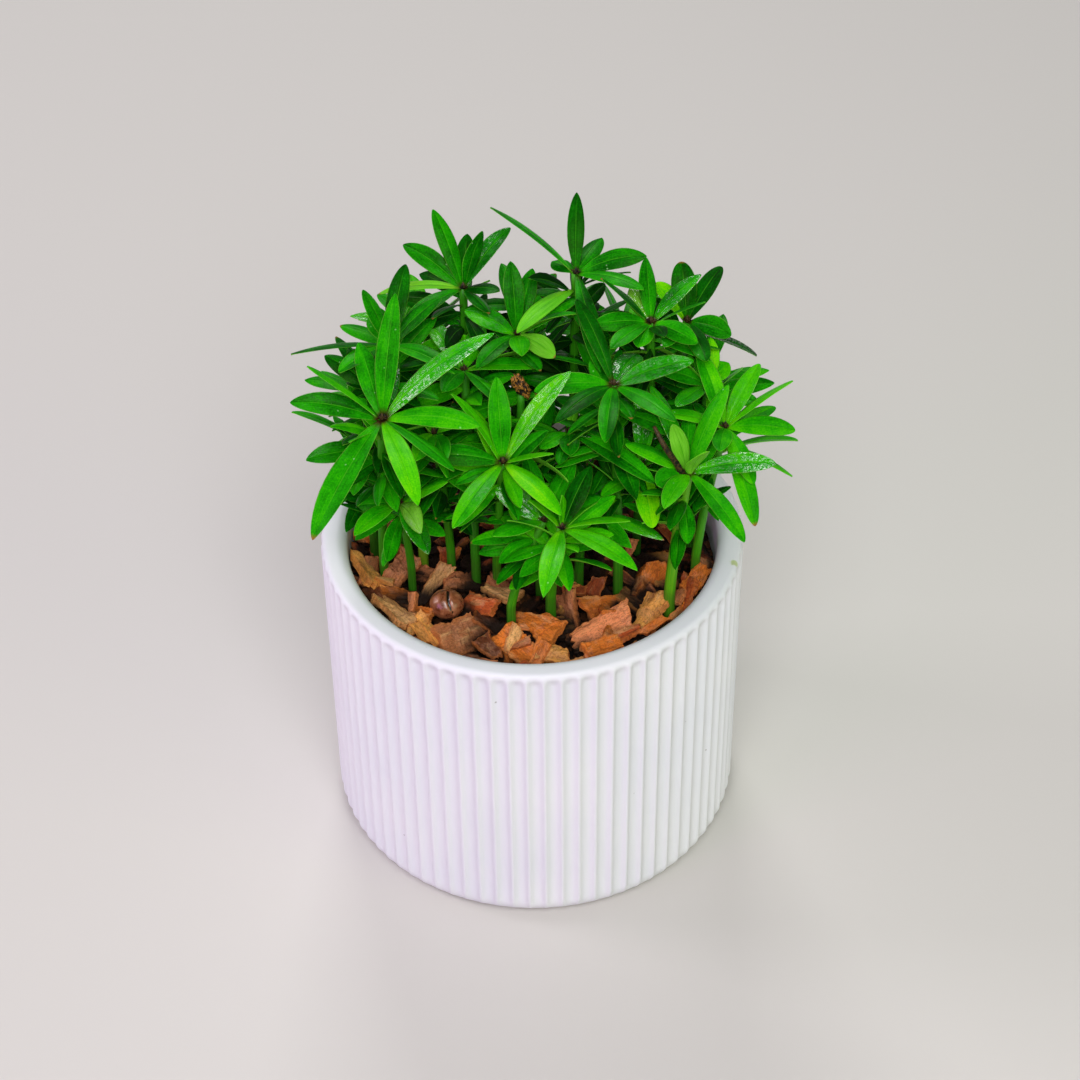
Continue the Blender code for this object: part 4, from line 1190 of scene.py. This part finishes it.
def make_bark(bark, litter):
    """The mulch: a dark bed of crumbs with the shards heaped on it, clear of the stems and of the seed."""
    heap = Heap()
    mesh = heap.mesh
    add_bed(mesh)
    count, margin, sizes, turns = FIELD
    for i in range(count):
        reach = sqrt((i + 0.5) / count) * (FILL_RADIUS - margin)
        place = around(radians(GOLDEN_ANGLE * i), reach)
        heap.scatter(place, 0, sizes, turns, CLEAR_OF_SEED, ceiling=FIELD_TOP)
    count, margin, sizes, turns = RIM
    for i in range(count):
        angle = 360 * (i + heap.draw(-0.3, 0.3)) / count
        place = around(radians(angle)) * (FILL_RADIUS - margin)
        heap.scatter(place, angle + 90, sizes, turns, ceiling=FIELD_TOP)
    for x, y, length, width, heading, pitch, roll, colour in SEEN_CHIPS:
        size = (length * MM, width * MM, heap.draw(*SEEN_THICK) * MM)
        heap.add(Vector((x, y)) * MM, size, (heading, pitch, roll), colour)
    count, margin, sizes, turns = SCRAPS
    for _ in range(count):
        heap.scatter(heap.lowest(margin), 0, sizes, turns, SCRAP_CLEAR_OF_SEED, grid=SCRAP_GRID)
    # The chip attribute's alpha holds painted shade, darker where a point lies deep among the chips
    own = zip(mesh.values["chip"], mesh.points)
    mesh.values["chip"] = [(*colour[:3], heap.painted_shade(spot)) for colour, spot in own]
    made = mesh.build("bark_shards", [litter, bark], "bark_mulch", "bark")
    made.data.shade_flat()


def make_seed(finish):
    """The seed: a little egg-shaped, with a crack that opens upwards."""
    mesh = Mesh("chip")
    points, values = [], []
    for k, unit in ball(*SEED_GRID):
        line = unit.x - 0.1 - 0.35 * max(0, 0.9 - unit.z)
        reach = 1 if -0.95 < unit.y < 0.35 and unit.z > 0 else 0
        opening = 0.05 + 0.09 * max(0, unit.z - 0.3)
        crack = reach * exp(-(line / opening) ** 2)
        scale = min(1, 0.985 + 0.02 * noise.noise(unit * 3)) - CRACK_DEPTH * crack
        points.append(SEED_PLACE + Vector(unit[j] * SEED_RADII[j] * scale for j in range(3)))
        values.append((crack, abs(2 * k / SEED_GRID[1] - 1), 0, 1))
    mesh.add(points, turned(closed_tube(*SEED_GRID)), 0, chip=values)
    mesh.build("seed_cracked", [finish], "seed", "seed")


# Stage

CAMERA_PITCH = radians(42.2)
CAMERA_ROLL = radians(-0.73)
CAMERA_TARGET = Vector((2.2, 0, 95.4)) * MM
CAMERA_DISTANCE = 741 * MM
LENS_PIXELS = 2600
PHOTO_PIXELS = 1080
SENSOR = 36
FLOOR_HALF = 3
SQUARE = ((-1, -1), (1, -1), (1, 1), (-1, 1))
LAMP_DISTANCE = 1.4

# Each lamp's direction from the plant, width in m, power in W and colour
LAMPS = {
    "key": ((0.04, -0.74, 0.84), 0.8, 16, (0.98, 1, 1)),
    "right": ((0.95, -0.66, 0.42), 0.7, 2.2, (0.95, 1, 0.45)),
    "left": ((-0.9, -0.78, 0.36), 0.6, 3, (1, 0.38, 1)),
    "gloss_left": ((-0.88, 0.14, 0.45), 0.42, 4.6, (1, 0.92, 1)),
    "gloss_back": ((-0.08, 0.68, 0.74), 0.42, 6.4, (1, 1, 1)),
}


def make_camera():
    """The photograph's view: from 42 degrees above the table, a little rolled."""
    camera = into_scene("camera", bpy.data.cameras.new("camera"))
    turn = Matrix.Rotation(pi / 2 - CAMERA_PITCH, 4, "X") @ Matrix.Rotation(CAMERA_ROLL, 4, "Z")
    back = Matrix.Translation((0, 0, CAMERA_DISTANCE))
    camera.matrix_world = Matrix.Translation(CAMERA_TARGET) @ turn @ back
    camera.data.sensor_width = SENSOR
    camera.data.lens = LENS_PIXELS / PHOTO_PIXELS * SENSOR
    bpy.context.scene.camera = camera


def add_lamp(name, direction, width, power, colour):
    """A square lamp that faces the plant."""
    light = bpy.data.lights.new(name, "AREA")
    light.size = width
    light.energy = power
    light.color = colour
    lamp = into_scene(name, light)
    towards = Vector(direction).normalized()
    lamp.location = CAMERA_TARGET + towards * LAMP_DISTANCE
    lamp.rotation_euler = towards.to_track_quat("Z", "Y").to_euler()


def make_stage():
    """A plain pale floor, soft light from three sides, and smaller lamps for the gloss."""
    mesh = bpy.data.meshes.new("floor")
    mesh.from_pydata([(x * FLOOR_HALF, y * FLOOR_HALF, 0) for x, y in SQUARE], [], [range(len(SQUARE))])
    floor = into_scene("floor", mesh)
    shader = Shader("pale_floor", Roughness=0.8, Specular_IOR_Level=0.2, Base_Color=(0.62, 0.6, 0.57))
    mesh.materials.append(shader.material)
    world = bpy.data.worlds.new("studio")
    world.use_nodes = True
    background = world.node_tree.nodes["Background"].inputs
    background["Color"].default_value = (0.95, 0.98, 1, 1)
    background["Strength"].default_value = 0.17
    bpy.context.scene.world = world
    for name, lamp in LAMPS.items():
        add_lamp(name, *lamp)
    bpy.context.scene.view_settings.view_transform = "Standard"


def main():
    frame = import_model()
    nodes = frame["nodes"]
    blade = leaf_material()
    skin = stem_material()
    wood = bud_material("bud_wood", (0.005, 0.003, 0.001), (0.08, 0.045, 0.008))
    husk = bud_material("dried_husk", (0.008, 0.004, 0.002), (0.52, 0.22, 0.03))
    soil = litter_material("potting_soil", (0.012, 0.007, 0.005), (0.07, 0.038, 0.022))
    litter = litter_material("bark_litter", (0.008, 0.003, 0.002), (0.11, 0.036, 0.012))
    make_pot(ceramic_material())
    nodes["soil"].data.materials.clear()
    nodes["soil"].data.materials.append(soil)
    make_bark(bark_material(), litter)
    make_seed(seed_material())
    make_seedlings(nodes, blade, skin, wood)
    make_sprout(skin, husk)
    make_camera()
    make_stage()


main()
